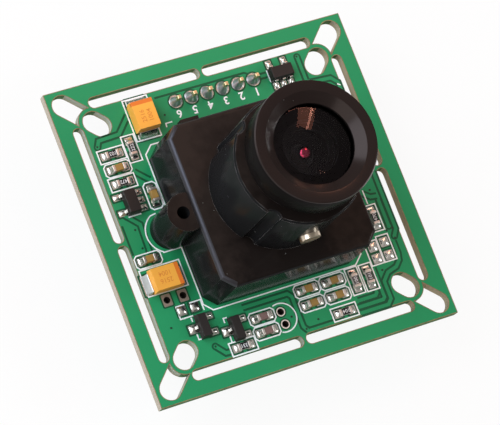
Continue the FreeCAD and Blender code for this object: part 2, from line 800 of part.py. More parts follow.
def make_lens():
    """Barrel with a broad head, and the glass, spacer, stop and retainer stacked from its lip."""
    turned(
        "lens_barrel",
        [
            ("sizes.barrel_radius", BARREL_END),
            ("sizes.barrel_radius", LENS_SHOULDER),
            ("sizes.lens_head_radius", LENS_SHOULDER),
            ("sizes.lens_head_radius", f"{LENS_FRONT} - sizes.lens_head_edge"),
            ("sizes.lens_head_radius - sizes.lens_head_edge", LENS_FRONT),
            ("sizes.bevel_radius", LENS_FRONT),
            ("sizes.aperture_radius", f"{LENS_FRONT} - sizes.bevel_depth"),
            ("sizes.aperture_radius", FRONT_SEAT),
            ("sizes.element_bore", FRONT_SEAT),
            ("sizes.element_bore", BARREL_END),
        ],
    )
    curve = "sizes.front_dome_curve"
    rise = f"({curve} - sqrt({curve} ^ 2 - sizes.front_dome_radius ^ 2))"
    turned(
        "front_glass",
        [
            ("0", SPACER_TOP),
            ("sizes.element_radius", SPACER_TOP),
            ("sizes.element_radius", FRONT_SEAT),
            ("sizes.front_dome_radius", FRONT_SEAT, curve),
            ("0", f"{FRONT_SEAT} + {rise}"),
        ],
    )
    ring("glass_spacer", "sizes.spacer_opening", MIDDLE_TOP, SPACER_TOP)
    ring("middle_glass", "0", STOP_TOP, MIDDLE_TOP)
    ring("aperture_stop", "sizes.stop_opening", REAR_TOP, STOP_TOP)
    ring("rear_glass", "0", RETAINER_TOP, REAR_TOP)
    retainer_bottom = f"{RETAINER_TOP} - sizes.retainer_height"
    ring("rear_retaining_ring", "sizes.retainer_opening", retainer_bottom, RETAINER_TOP)


def ring(label, opening, bottom, top):
    """A flat ring in the barrel, or a full disc where its opening is 0."""
    outer = "sizes.element_radius"
    turned(label, [(opening, bottom), (outer, bottom), (outer, top), (opening, top)])


def square_plate(label, side, thickness, level):
    body = new_body(label)
    sketch = new_sketch(body, f"{label}_outline", offset=level)
    centred_square(sketch, side)
    pad(body, sketch, f"{label}_plate", thickness)


def make_sensor():
    square_plate("infrared_filter", "sizes.filter_side", "sizes.filter_thickness", CHAMBER_TOP)
    square_plate("image_sensor", "sizes.sensor_side", "sizes.sensor_height", BOARD_TOP)
    square_plate(
        "sensor_cover_glass",
        "sizes.sensor_glass_side",
        "sizes.sensor_glass_thickness",
        f"{BOARD_TOP} + sizes.sensor_height",
    )


def make_header():
    """Shrouded pin header that hangs on the back, pins through the board, solder on the top."""
    body = new_body("header_shell")
    length = f"({HEADER_PIN_COUNT} - 1) * sizes.header_pitch + 2 * sizes.header_end_margin"
    sketch = new_sketch(body, "header_outline")
    half_x = f"({length}) / 2"
    half_y = "sizes.header_width / 2"
    rectangle(sketch, f"-{half_x}", half_x, f"-{half_y}", half_y)
    pad(body, sketch, "header_block", "sizes.header_depth")
    sketch = new_sketch(body, "header_socket_outline", offset="sizes.header_depth")
    in_x = f"({half_x} - sizes.header_wall)"
    in_y = f"({half_y} - sizes.header_wall)"
    rectangle(sketch, f"-{in_x}", in_x, f"-{in_y}", in_y)
    pocket(body, sketch, "header_socket", "sizes.header_depth - sizes.header_floor")
    sketch = new_sketch(body, "header_pin_slots")
    slot = "(sizes.pin_side / 2 + sizes.pin_gap)"
    row = "(sizes.header_shell_y - sizes.header_row_y)"
    for number in range(HEADER_PIN_COUNT):
        x = f"({number} - ({HEADER_PIN_COUNT} - 1) / 2) * sizes.header_pitch"
        rectangle(sketch, f"{x} - {slot}", f"{x} + {slot}", f"{row} - {slot}", f"{row} + {slot}")
    pocket(body, sketch, "header_pin_passages", "sizes.header_floor", along_normal=True)
    place_body(body, ("sizes.header_middle_x", "sizes.header_shell_y", "0"), back=True)
    pins = []
    joints = []
    for number in range(HEADER_PIN_COUNT):
        x = f"sizes.header_middle_x + ({number} - ({HEADER_PIN_COUNT} - 1) / 2) * sizes.header_pitch"
        pin = doc.addObject("Part::Box", f"header_pin_{number + 1}")
        for name in ("Length", "Width"):
            pin.setExpression(name, "sizes.pin_side")
        height = f"{BOARD_TOP} + sizes.pin_top_length + sizes.pin_back_length"
        pin.setExpression("Height", height)
        pin.setExpression("Placement.Base.x", f"{x} - sizes.pin_side / 2")
        pin.setExpression("Placement.Base.y", "sizes.header_row_y - sizes.pin_side / 2")
        pin.setExpression("Placement.Base.z", "-sizes.pin_back_length")
        pins.append(pin)
        joints.append(solder_joint(number + 1, pin, (x, "sizes.header_row_y", BOARD_TOP)))
    group("header_pins", pins)
    group("header_solder_joints", joints)


def solder_joint(number, pin, place):
    """Eight-sided tapered solder round a pin, where two square tapers at 45 degrees meet."""
    foot = "sizes.joint_foot_radius"
    tip = "sizes.joint_tip_radius"
    tapers = []
    for turn in (0, 45):
        tapers.append(
            block(
                f"solder_taper_{turn}_{number}",
                (f"-{foot}", foot),
                (f"-{tip}", tip),
                f"2 * {foot}",
                f"2 * {tip}",
                "sizes.joint_height",
                place,
                turn,
            )
        )
    taper = doc.addObject("Part::MultiCommon", f"solder_taper_{number}")
    taper.Shapes = tapers
    joint = doc.addObject("Part::Cut", f"solder_joint_{number}")
    joint.Base = taper
    joint.Tool = pin
    return joint


def make_chips(kind, label, height, places, back=False):
    """Two-ended chips: a body between two metal end caps that run out into solder."""
    level = "0" if back else BOARD_TOP
    inner = "(sizes.chip_length / 2 - sizes.chip_cap_length)"
    ends = []
    for number, (_, _, turn) in enumerate(places, 1):
        place = place_of(kind, number, level)
        core = (f"-{inner}", inner)
        name = f"{label}_{number}"
        width = "sizes.chip_width"
        nodes.append(block(name, core, core, width, width, height, place, turn, back))
        ends += end_blocks(
            f"{name}_end",
            inner,
            "(sizes.chip_length / 2 + sizes.chip_solder_length)",
            "(sizes.chip_length / 2)",
            width,
            f"{height} + sizes.chip_cap_step_height",
            place,
            turn,
            back,
        )
    group(f"{label}_end_caps", ends)


def make_tantalums():
    tabs = []
    half = "(sizes.tantalum_length / 2)"
    inset = f"({half} - sizes.tantalum_lean_width)"
    for number, (_, _, turn) in enumerate(TANTALUMS, 1):
        place = place_of("tantalum", number)
        name = f"tantalum_capacitor_{number}"
        narrow = "sizes.tantalum_width - 2 * sizes.tantalum_lean_width"
        height = "sizes.tantalum_height"
        base = (f"-{half}", half)
        top = (f"-{inset}", inset)
        case = block(name, base, top, "sizes.tantalum_width", narrow, height, place, turn)
        nodes.append(case)
        tabs += end_blocks(
            f"{name}_tab",
            half,
            f"({half} + sizes.tantalum_tab_length)",
            f"({half} + sizes.tantalum_tab_top)",
            "sizes.tantalum_tab_width",
            "sizes.tantalum_tab_height",
            place,
            turn,
        )
    group("tantalum_end_tabs", tabs)


def make_package(label, kind, number, width, turn, rows):
    """A small moulded package and, as a node of its own, its gull-wing leads."""
    x, y, level = place_of(kind, number)
    half = f"({width} / 2)"
    inset = f"({half} - sizes.small_package_lean_width)"
    case = block(
        label,
        (f"-{half}", half),
        (f"-{inset}", inset),
        "sizes.small_package_length",
        "sizes.small_package_length - 2 * sizes.small_package_lean_width",
        "sizes.small_package_height",
        (x, y, f"{level} + sizes.small_package_lift"),
        turn,
    )
    nodes.append(case)
    body = new_body(f"{label}_leads")
    body.AllowCompound = True
    for side, count, pitch in rows:
        name = f"{label}_{'left' if side < 0 else 'right'}"
        gull_row(body, name, side, count, pitch, width, "small")
    place_body(body, (x, y, level), turn)


def make_small_packages():
    pitch = "sizes.regulator_pitch"
    wide_pitch = f"(2 * {pitch})"
    for number, (_, _, turn) in enumerate(REGULATORS, 1):
        rows = [(-1, 2, wide_pitch), (1, 3, pitch)]
        label = f"voltage_regulator_{number}"
        make_package(label, "regulator", number, "sizes.regulator_width", turn, rows)
    for number, (_, _, turn) in enumerate(TRANSISTORS, 1):
        rows = [(-1, 1, pitch), (1, 2, wide_pitch)]
        make_package(f"transistor_{number}", "transistor", number, "sizes.transistor_width", turn, rows)


def make_bare_pads():
    half = "(sizes.bare_pad_side / 2)"
    inset = f"({half} - sizes.bare_pad_edge_width)"
    narrow = "sizes.bare_pad_side - 2 * sizes.bare_pad_edge_width"
    pads = []
    for number, (_, _, turn) in enumerate(BARE_PADS, 1):
        place = place_of("bare_pad", number)
        base = (f"-{half}", half)
        top = (f"-{inset}", inset)
        rise = "sizes.bare_pad_height"
        pads.append(
            block(f"bare_pad_solder_{number}", base, top, "sizes.bare_pad_side", narrow, rise, place, turn)
        )
    group("bare_pad_solder", pads)


def make_back_package(label, length, width, height, lean, lift, place):
    half = f"({length} / 2)"
    inset = f"({half} - {lean})"
    case = block(
        label,
        (f"-{half}", half),
        (f"-{inset}", inset),
        width,
        f"{width} - 2 * {lean}",
        height,
        (place[0], place[1], f"-{lift}"),
        back=True,
    )
    nodes.append(case)


def make_back_parts():
    """Image processor, memory and clock crystal under the lens side."""
    side = "sizes.processor_side"
    centre = ("0", "0", "0")
    make_back_package(
        "image_processor",
        side,
        side,
        "sizes.processor_height",
        "sizes.processor_lean_width",
        "sizes.processor_lift",
        centre,
    )
    body = new_body("image_processor_leads")
    body.AllowCompound = True
    for plane, sign in (("XZ_Plane", 1), ("XZ_Plane", -1), ("YZ_Plane", 1), ("YZ_Plane", -1)):
        name = f"processor_{plane[:2].lower()}{sign + 1}"
        gull_row(body, name, sign, PROCESSOR_LEAD_COUNT, "sizes.processor_pitch", side, "processor", plane)
    place_body(body, centre, back=True)
    place = ("sizes.memory_x", "sizes.memory_y", "0")
    make_back_package(
        "memory_chip",
        "sizes.memory_width",
        "sizes.memory_length",
        "sizes.memory_height",
        "sizes.processor_lean_width",
        "sizes.processor_lift",
        place,
    )
    body = new_body("memory_chip_leads")
    body.AllowCompound = True
    for sign in (1, -1):
        gull_row(
            body,
            f"memory_side{sign + 1}",
            sign,
            MEMORY_LEAD_COUNT,
            "sizes.memory_pitch",
            "sizes.memory_width",
            "memory",
        )
    place_body(body, place, back=True)
    make_back_package(
        "clock_crystal",
        "sizes.crystal_length",
        "sizes.crystal_width",
        "sizes.crystal_height",
        "sizes.crystal_lean_width",
        "0",
        ("sizes.crystal_x", "sizes.crystal_y"),
    )


def write_parts():
    doc.recompute()
    for item in doc.Objects:
        if "Invalid" in item.State or "Error" in item.State:
            raise RuntimeError(f"{item.Label} failed: {item.State}")
    os.makedirs("parts", exist_ok=True)
    for node in nodes:
        shape = node.Shape
        if shape.isNull() or not shape.isValid() or not shape.Solids:
            raise RuntimeError(f"{node.Label} has no valid solid")
        shape.exportStep(f"parts/{node.Label}.step")
        print(node.Label, len(shape.Solids), round(shape.Volume, 3))


make_board()
make_holder()
make_set_screw()
group("holder_screws", [make_holder_screw(1, "-"), make_holder_screw(2, "")])
make_lens()
make_sensor()
make_header()
make_chips("resistor", "chip_resistor", "sizes.resistor_height", RESISTORS)
make_chips("capacitor", "chip_capacitor", "sizes.capacitor_height", CAPACITORS)
make_chips("back_capacitor", "back_capacitor", "sizes.capacitor_height", BACK_CAPACITORS, back=True)
make_tantalums()
make_small_packages()
make_bare_pads()
make_back_parts()
write_parts()
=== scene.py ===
import json
import math

import bmesh
import bpy
import numpy as np
from mathutils import Matrix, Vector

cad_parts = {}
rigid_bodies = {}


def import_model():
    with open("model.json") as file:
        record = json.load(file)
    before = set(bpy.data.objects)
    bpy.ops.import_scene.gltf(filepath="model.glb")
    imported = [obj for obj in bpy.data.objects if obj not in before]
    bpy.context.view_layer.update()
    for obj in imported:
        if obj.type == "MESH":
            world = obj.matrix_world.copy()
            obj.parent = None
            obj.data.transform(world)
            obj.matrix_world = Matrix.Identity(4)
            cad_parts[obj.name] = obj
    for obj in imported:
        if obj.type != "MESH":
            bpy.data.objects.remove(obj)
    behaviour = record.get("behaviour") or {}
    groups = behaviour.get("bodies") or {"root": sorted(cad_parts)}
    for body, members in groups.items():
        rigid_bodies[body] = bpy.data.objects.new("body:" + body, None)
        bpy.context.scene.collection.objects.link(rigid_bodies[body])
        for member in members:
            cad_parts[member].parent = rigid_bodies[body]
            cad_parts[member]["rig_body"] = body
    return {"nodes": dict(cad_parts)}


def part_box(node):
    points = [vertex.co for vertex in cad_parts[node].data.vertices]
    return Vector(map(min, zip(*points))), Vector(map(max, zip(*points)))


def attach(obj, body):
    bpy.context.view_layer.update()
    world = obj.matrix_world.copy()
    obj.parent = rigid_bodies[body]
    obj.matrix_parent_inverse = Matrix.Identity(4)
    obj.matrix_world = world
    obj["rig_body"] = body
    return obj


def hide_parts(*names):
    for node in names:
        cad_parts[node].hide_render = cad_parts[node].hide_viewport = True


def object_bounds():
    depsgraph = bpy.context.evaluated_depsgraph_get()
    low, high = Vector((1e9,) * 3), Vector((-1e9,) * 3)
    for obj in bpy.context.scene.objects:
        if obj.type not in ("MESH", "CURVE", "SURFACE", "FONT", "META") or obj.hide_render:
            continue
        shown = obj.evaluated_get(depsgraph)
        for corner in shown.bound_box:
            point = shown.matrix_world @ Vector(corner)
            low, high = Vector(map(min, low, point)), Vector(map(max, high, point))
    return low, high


bl_info = {
    "name": "Board camera module",
    "version": (1, 0, 0),
    "blender": (4, 5, 0),
    "location": "3D Viewport > Sidebar > Camera Module",
    "description": "Dresses the packed board camera: printed board, holder, lens and small parts",
    "category": "Object",
}

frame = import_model()
CAD_BOX = [list(corner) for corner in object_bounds()]

MM = 0.001
BOARD_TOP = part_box("circuit_board")[1].z / MM
BARREL_LOW, BARREL_HIGH = (np.array(corner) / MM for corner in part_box("lens_barrel"))

# distances are in millimetres, in the part's own frame, but the settings and the widths of
# rounded edges are in metres

SUNK = BOARD_TOP - 0.01        # the foot of each flat layer, just inside the board
GAP_RISE = 0.004               # how far each flat layer stands above the board's face
PAD_GAP_RISE = 0.014
TRACK_RISE = 0.022
PAD_RISE = 0.030
INK_RISE = 0.034
TRACK_STEP = 0.0004            # how much higher each next piece of a layer stands
PAD_STEP = 0.0005
INK_STEP = 0.0006
FIGURE_THICKNESS = 0.012
PAD_MARGIN = 0.08              # pads and the gaps round them, beyond the part's end
GAP_MARGIN = 0.28
PIN_HOLE = 0.4                 # the board: its plated holes, its edge slots, its corner slots
SLOT_HALF_WIDTH = 0.625
SLOT_LINE = 16.6
SLOT_ENDS = ((0.825, 13.575), (-13.575, -0.825))
CORNER_HALF_WIDTH = 1.25
CORNER_SLOT = (13.76, 13.76), (14.44, 14.44)
CORNER_OPENING = (17.2, 17.2)
CORNER_RING = 1.8
OUTER_FACE = 18.9              # beyond this the laminate is the board's outer edge
BOX_TOP = 7.9                  # the holder: its box, its sloping faces, its ears
SLOPE_TOP = 9.2
EAR_TOP = 8.0
EAR_DISTANCE = 11.0
HEAD_DEPTH = 3.7               # the barrel: its head, its thread and its bore
THREAD_RADIUS = 5.95
THREAD_END = 5.7
BORE = 4.6
LIP_DEPTH = 1.14
GLASS_SPHERE, GLASS_REACH = 14.0, 4.45
ELEMENT_SPHERE, ELEMENT_REACH = 0.85, 0.68
CAP_RAMP = 0.5                 # how much of an end cap's solid is its solder
UPSIDE_DOWN = np.array([1, 1, -1])


def colour_setting(name, description, value):
    """A colour that a user would change."""
    return bpy.props.FloatVectorProperty(name=name, description=description, subtype="COLOR",
                                         size=4, min=0, max=1, default=(*value, 1))


def length_setting(name, description, value):
    """A length that a user would change, in metres."""
    return bpy.props.FloatProperty(name=name, description=description, unit="LENGTH",
                                   default=value)


class BoardSettings(bpy.types.PropertyGroup):
    """Colours and line sizes of the printed board."""

    mask: colour_setting("Solder mask", "Colour of the mask over copper", (0.0180, 0.284, 0.110))
    gap: colour_setting("Bare gap", "Colour of the mask where there is no copper below",
                        (0.0055, 0.084, 0.035))
    laminate: colour_setting("Laminate", "Colour of the routed edges", (0.60, 0.56, 0.48))
    ink: colour_setting("Ink", "Colour of the printed outlines", (0.95, 0.99, 1.0))
    ink_width: length_setting("Ink width", "Width of a printed line", 0.00015)
    track_width: length_setting("Track width", "Width of a copper track", 0.0004)
    track_gap: length_setting("Track gap", "Bare gap on each side of a track", 0.00025)


class HolderSettings(bpy.types.PropertyGroup):
    """Finish of the moulded lens holder."""

    plastic: colour_setting("Plastic", "Colour of the moulding", (0.0118, 0.0088, 0.0079))
    roughness: bpy.props.FloatProperty(
        name="Roughness", description="How dull the moulding is", subtype="FACTOR",
        min=0, max=1, default=0.2)
    edge: length_setting("Edge round", "Rounding of the moulding's sharp edges", 0.00012)


class LensSettings(bpy.types.PropertyGroup):
    """Finish and fine shape of the lens."""

    metal: colour_setting("Anodised metal", "Colour of the barrel", (0.0150, 0.0098, 0.0088))
    coating: colour_setting("Coating", "Tint of the reflection in the front glass",
                            (0.36, 0.30, 0.32))
    thread_pitch: length_setting("Thread pitch", "Advance of the lens in one turn", 0.0005)
    thread_depth: length_setting("Thread depth", "Depth of the thread", 0.00027)


class PartsSettings(bpy.types.PropertyGroup):
    """Finishes of the small parts."""

    solder: colour_setting("Solder", "Colour of tin and solder", (0.72, 0.70, 0.66))
    tantalum: colour_setting("Tantalum case", "Colour of the moulded capacitors",
                             (1.0, 0.46, 0.062))
    tantalum_band: colour_setting("Polarity band", "Colour of the band at one end",
                                  (0.82, 0.20, 0.022))
    band_width: length_setting("Band width", "Width of the polarity band", 0.0006)
    edge: length_setting("Edge round", "Rounding of the small parts' edges", 0.00006)


class StageSettings(bpy.types.PropertyGroup):
    """Floor, lamps and camera."""

    floor_drop: length_setting("Floor drop", "Gap between the part's lowest face and the floor",
                               0.0001)
    world: bpy.props.FloatProperty(
        name="Surround", description="Strength of the surrounding light", min=0, default=0.55)
    lens: bpy.props.FloatProperty(
        name="Focal length", description="Camera lens for a 36 mm wide image", default=225.54)


# ---------------------------------------------------------------- arrays and meshes


def grid(points, close_rows=False, close_columns=False):
    """Quads of a grid of points: each joins a point to its next in the row and in the column."""
    rows, columns = points.shape[:2]
    row = np.arange(rows if close_rows else rows - 1)
    column = np.arange(columns if close_columns else columns - 1)
    row, column = np.meshgrid(row, column, indexing="ij")
    below = (row + 1) % rows
    beside = (column + 1) % columns
    quads = np.stack([row * columns + column, row * columns + beside,
                      below * columns + beside, below * columns + column], axis=-1)
    return points.reshape(-1, 3), quads.reshape(-1, 4).tolist()


def merged(parts):
    """Several point and face arrays as one, the face numbers moved up by the points before."""
    points, faces, start = [], [], 0
    for part_points, part_faces in parts:
        points.append(np.asarray(part_points, float))
        faces += [[start + index for index in face] for face in part_faces]
        start += len(part_points)
    return np.concatenate(points), faces


def lathe(profile, count, centre=(0, 0)):
    """A profile of radius and height turned about a vertical axis: x and y are the radius
    times the cosine and sine of the angle, z is the height."""
    radius, height = np.asarray(profile, float).T
    angle = np.linspace(0, 2 * math.pi, count, endpoint=False)
    points = np.stack([centre[0] + np.outer(np.cos(angle), radius),
                       centre[1] + np.outer(np.sin(angle), radius),
                       np.broadcast_to(height, (count, len(height)))], axis=-1)
    return grid(points, close_rows=True)


def prism(outline, low, high):
    """A flat outline carried straight up from one height to another, closed at both ends."""
    outline = np.asarray(outline, float)
    count = len(outline)
    points = np.concatenate([np.column_stack([outline, np.full(count, level)])
                             for level in (low, high)])
    index = np.arange(count)
    follow = (index + 1) % count
    sides = np.column_stack([index, follow, follow + count, index + count]).tolist()
    return points, sides + [index[::-1].tolist(), (index + count).tolist()]


def box_outline(low, high, corner=0.0):
    """Corners of a rectangle, each cut off by a bevel of the given size where there is one."""
    (x0, y0), (x1, y1) = low[:2], high[:2]
    if corner <= 0:
        return [(x0, y0), (x1, y0), (x1, y1), (x0, y1)]
    c = corner
    return [(x0 + c, y0), (x1 - c, y0), (x1, y0 + c), (x1, y1 - c),
            (x1 - c, y1), (x0 + c, y1), (x0, y1 - c), (x0, y0 + c)]


def arc(centre, radius, start, end, count):
    """Points on a circle from one angle to another, in degrees."""
    angle = np.radians(np.linspace(start, end, count))
    return np.column_stack([centre[0] + radius * np.cos(angle),
                            centre[1] + radius * np.sin(angle)])


def ribbon(path, width, low, high, closed=False):
    """A low rectangular section carried along a flat path. At each corner it stands on the
    line that halves the corner, and is widened there so that the strip keeps its width."""
    path = np.asarray(path, float)
    if closed:
        run = np.roll(path, -1, axis=0) - path
    else:
        run = np.diff(path, axis=0)
        run = np.concatenate([run, run[-1:]])
    run /= np.linalg.norm(run, axis=1)[:, None]
    before = np.roll(run, 1, axis=0)
    if not closed:
        before[0] = run[0]
    normal = np.column_stack([-(run + before)[:, 1], (run + before)[:, 0]])
    normal /= np.linalg.norm(normal, axis=1)[:, None]
    straight = np.column_stack([-run[:, 1], run[:, 0]])
    spread = width / 2 / np.clip((normal * straight).sum(axis=1), 0.4, 1)
    left = path + normal * spread[:, None]
    right = path - normal * spread[:, None]
    levels = np.ones(len(path))
    section = [np.column_stack([right, low * levels]), np.column_stack([right, high * levels]),
               np.column_stack([left, high * levels]), np.column_stack([left, low * levels])]
    points, faces = grid(np.stack(section, axis=1), close_rows=closed, close_columns=True)
    if not closed:
        last = 4 * (len(path) - 1)
        faces += [[0, 1, 2, 3], [last + 3, last + 2, last + 1, last]]
    return points, faces


def disc(centre, radius, low, high, count=24, hole=0.0):
    """A low round pad, with a round hole where one is given."""
    if hole:
        profile = [(hole, low), (radius, low), (radius, high), (hole, high), (hole, low)]
    else:
        profile = [(0, low), (radius, low), (radius, high), (0, high)]
    return lathe(profile, count, centre)


def digits(text, height, centre, turn, level, bold=0.0):
    """Plain figures as flat plates: their outlines filled, scaled to a height, turned about
    their middle and laid on a level."""
    curve = bpy.data.curves.new("figures", "FONT")
    curve.body = text
    curve.resolution_u = 3
    curve.offset = bold
    holder = bpy.data.objects.new("figures", curve)
    bpy.context.scene.collection.objects.link(holder)
    bpy.context.view_layer.update()
    mesh = bpy.data.meshes.new_from_object(
        holder.evaluated_get(bpy.context.evaluated_depsgraph_get()))
    points = np.zeros(len(mesh.vertices) * 3)
    mesh.vertices.foreach_get("co", points)
    flat = points.reshape(-1, 3)[:, :2]
    faces = [list(face.vertices) for face in mesh.polygons]
    bpy.data.objects.remove(holder)
    bpy.data.curves.remove(curve)
    bpy.data.meshes.remove(mesh)
    low, high = flat.min(axis=0), flat.max(axis=0)
    flat = (flat - (low + high) / 2) * height / (high - low)[1]
    angle = math.radians(turn)
    spin = np.array([[math.cos(angle), math.sin(angle)], [-math.sin(angle), math.cos(angle)]])
    flat = flat @ spin + np.asarray(centre)
    return np.column_stack([flat, np.full(len(flat), level + FIGURE_THICKNESS)]), faces


def strips(paths, width, rise, step=TRACK_STEP, closed=False):
    """Ribbons of one width along several paths, from inside the board to a rise above it. Each
    is a step higher than the one before, so that no two lie in one plane where they cross."""
    return [ribbon(path, width, SUNK, BOARD_TOP + rise + step * i, closed)
            for i, path in enumerate(paths)]


def dots(places, radius, rise, step=TRACK_STEP, count=24):
    """Round dots of one size at several places, each a step higher than the one before."""
    return [disc(place, radius, SUNK, BOARD_TOP + rise + step * i, count)
            for i, place in enumerate(places)]


def with_base(top, level):
    """A sheet of points and its flat shadow on a level, as two grids."""
    base = top.copy()
    base[..., 2] = level
    return [grid(top), grid(base)]


def dome(radius, reach, base, count):
    """Radius and height along a spherical cap, from its top out to its rim. The height is the
    root of the sphere's radius squared less the distance squared, less its value at the rim."""
    edge = np.linspace(0, reach, count)
    rise = np.sqrt(radius**2 - edge**2) - math.sqrt(radius**2 - reach**2)
    return np.column_stack([edge, base + rise])


def piece(name, parts, material, body, stands_for=(), angle=30, clean=True):
    """One object from arrays in millimetres, its faces turned outwards, riding on a body."""
    points, faces = merged(parts)
    mesh = bpy.data.meshes.new(name)
    mesh.from_pydata((points * MM).tolist(), [], faces)
    if clean:
        shell = bmesh.new()
        shell.from_mesh(mesh)
        bmesh.ops.remove_doubles(shell, verts=shell.verts, dist=1e-7)
        bmesh.ops.dissolve_degenerate(shell, edges=shell.edges, dist=1e-8)
        bmesh.ops.recalc_face_normals(shell, faces=shell.faces)
        shell.to_mesh(mesh)
        shell.free()
    return placed(name, mesh, material, body, stands_for, angle)


def placed(name, mesh, material, body, stands_for, angle):
    """Links a finished mesh, shades it smooth up to an angle and ties it to its body."""
    mesh.shade_smooth()
    mesh.set_sharp_from_angle(angle=math.radians(angle))
    mesh.materials.clear()
    mesh.materials.append(material)
    made = bpy.data.objects.new(name, mesh)
    bpy.context.scene.collection.objects.link(made)
    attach(made, body)
    if stands_for:
        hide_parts(*stands_for)
    return made


def rounded(made, width, segments=2, angle=30, harden=True):
    """Rounds the edges that turn by more than an angle."""
    rounding = made.modifiers.new("edge round", "BEVEL")
    rounding.width = width
    rounding.segments = segments
    rounding.limit_method = "ANGLE"
    rounding.angle_limit = math.radians(angle)
    rounding.harden_normals = harden
    return rounding


def joined_copy(node):
    """A copy of a solid's triangles with their shared corners joined."""
    shell = bmesh.new()
    shell.from_mesh(frame["nodes"][node].data)
    bmesh.ops.remove_doubles(shell, verts=shell.verts, dist=1e-7)
    return shell


def dressed(node, name, material, edge, angle=28, segments=2, worn=None):
    """A copy of a solid with its flat faces joined and its edges rounded, in the solid's place.
    The rounded edges take a material of their own where one is given."""
    shell = joined_copy(node)
    bmesh.ops.dissolve_limit(
        shell, angle_limit=math.radians(1), verts=shell.verts, edges=shell.edges)
    mesh = bpy.data.meshes.new(name)
    shell.to_mesh(mesh)
    shell.free()
    made = placed(name, mesh, material, frame["nodes"][node]["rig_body"], [node], angle)
    if edge:
        rounding = rounded(made, edge, segments, angle)
        if worn:
            mesh.materials.append(worn)
            rounding.material = 1
    return made


def repaint(made, index, rule):
    """Gives the faces that a rule picks another of the object's materials. The rule takes the
    x, y and z of all the normals, and of all the middles in millimetres."""
    faces = made.data.polygons
    normals, middles = np.zeros(len(faces) * 3), np.zeros(len(faces) * 3)
    faces.foreach_get("normal", normals)
    faces.foreach_get("center", middles)
    picked = rule(normals.reshape(-1, 3).T, middles.reshape(-1, 3).T / MM)
    faces.foreach_set("material_index", np.where(picked, index, 0).astype(np.int32))


def coat(node, material):
    """Puts a material on a solid that stays as it is."""
    slots = frame["nodes"][node].data.materials
    slots.clear()
    slots.append(material)


def solids_of(node):
    """The lowest and highest corner of each separate solid of a node, in millimetres, from
    left to right, so that each run gives the same order."""
    shell = joined_copy(node)
    left = set(shell.verts)
    boxes = []
    while left:
        reach = [left.pop()]
        found = []
        while reach:
            corner = reach.pop()
            found.append(corner.co[:])
            for side in corner.link_edges:
                other = side.other_vert(corner)
                if other in left:
                    left.remove(other)
                    reach.append(other)
        found = np.array(found) / MM
        boxes.append((found.min(axis=0), found.max(axis=0)))
    shell.free()
    return sorted(boxes, key=lambda box: box[0].round(3).tolist())


def node_box(node):
    """Lowest and highest corner of a node, in millimetres."""
    return tuple(np.array(corner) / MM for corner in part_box(node))


def cores_named(*starts):
    """The nodes whose names begin with each of some words, without those of their end caps."""
    return [name for start in starts for name in sorted(frame["nodes"])
            if name.startswith(start) and not name.endswith("caps")]


# ---------------------------------------------------------------- materials


def node_group(name, inputs, outputs):
    """An empty shader group with named inputs and outputs."""
    group = bpy.data.node_groups.new(name, "ShaderNodeTree")
    for label, kind, value in inputs:
        socket = group.interface.new_socket(label, in_out="INPUT", socket_type=kind)
        socket.default_value = value
    for label, kind in outputs:
        group.interface.new_socket(label, in_out="OUTPUT", socket_type=kind)
    return group, group.nodes.new("NodeGroupInput"), group.nodes.new("NodeGroupOutput")


def math_node(tree, operation, first, second=None, clamp=False):
    """The output of a Math node. Each input is a number or another node's output."""
    made = tree.nodes.new("ShaderNodeMath")
    made.operation = operation
    made.use_clamp = clamp
    for socket, value in zip(made.inputs, (first, second)):
        if isinstance(value, (int, float)):
            socket.default_value = value
        elif value is not None:
            tree.links.new(value, socket)
    return made.outputs[0]


def ramp(tree, value, start, gain):
    """A value less a start, times a gain, kept between 0 and 1."""
    return math_node(tree, "MULTIPLY", math_node(tree, "SUBTRACT", value, start), gain,
                     clamp=True)


def mix_colour(tree, factor, first, second):
    """The first colour where the factor is 0, the second where it is 1."""
    made = tree.nodes.new("ShaderNodeMix")
    made.data_type = "RGBA"
    for socket, value in zip((made.inputs[0], made.inputs[6], made.inputs[7]),
                             (factor, first, second)):
        if isinstance(value, (int, float, tuple, list)):
            socket.default_value = value
        else:
            tree.links.new(value, socket)
    return made.outputs[2]


def object_coordinates(tree):
    """The shaded point in the object's own frame, in metres."""
    return tree.nodes.new("ShaderNodeTexCoord").outputs["Object"]


def separated(tree, vector):
    """The x, y and z of a vector."""
    made = tree.nodes.new("ShaderNodeSeparateXYZ")
    tree.links.new(vector, made.inputs[0])
    return made.outputs


def surface_normal(tree):
    """The x, y and z of the surface's normal."""
    return separated(tree, tree.nodes.new("ShaderNodeNewGeometry").outputs["Normal"])


def share_along(tree, vector, direction):
    """The dot product of a vector with a fixed direction."""
    made = tree.nodes.new("ShaderNodeVectorMath")
    made.operation = "DOT_PRODUCT"
    tree.links.new(vector, made.inputs[0])
    made.inputs[1].default_value = direction
    return made.outputs["Value"]


def noise(tree, scale, detail):
    """Noise on Object coordinates. The scale is a number or another node's output."""
    made = tree.nodes.new("ShaderNodeTexNoise")
    made.inputs["Detail"].default_value = detail
    if isinstance(scale, (int, float)):
        made.inputs["Scale"].default_value = scale
    else:
        tree.links.new(scale, made.inputs["Scale"])
    tree.links.new(object_coordinates(tree), made.inputs["Vector"])
    return made.outputs["Fac"]


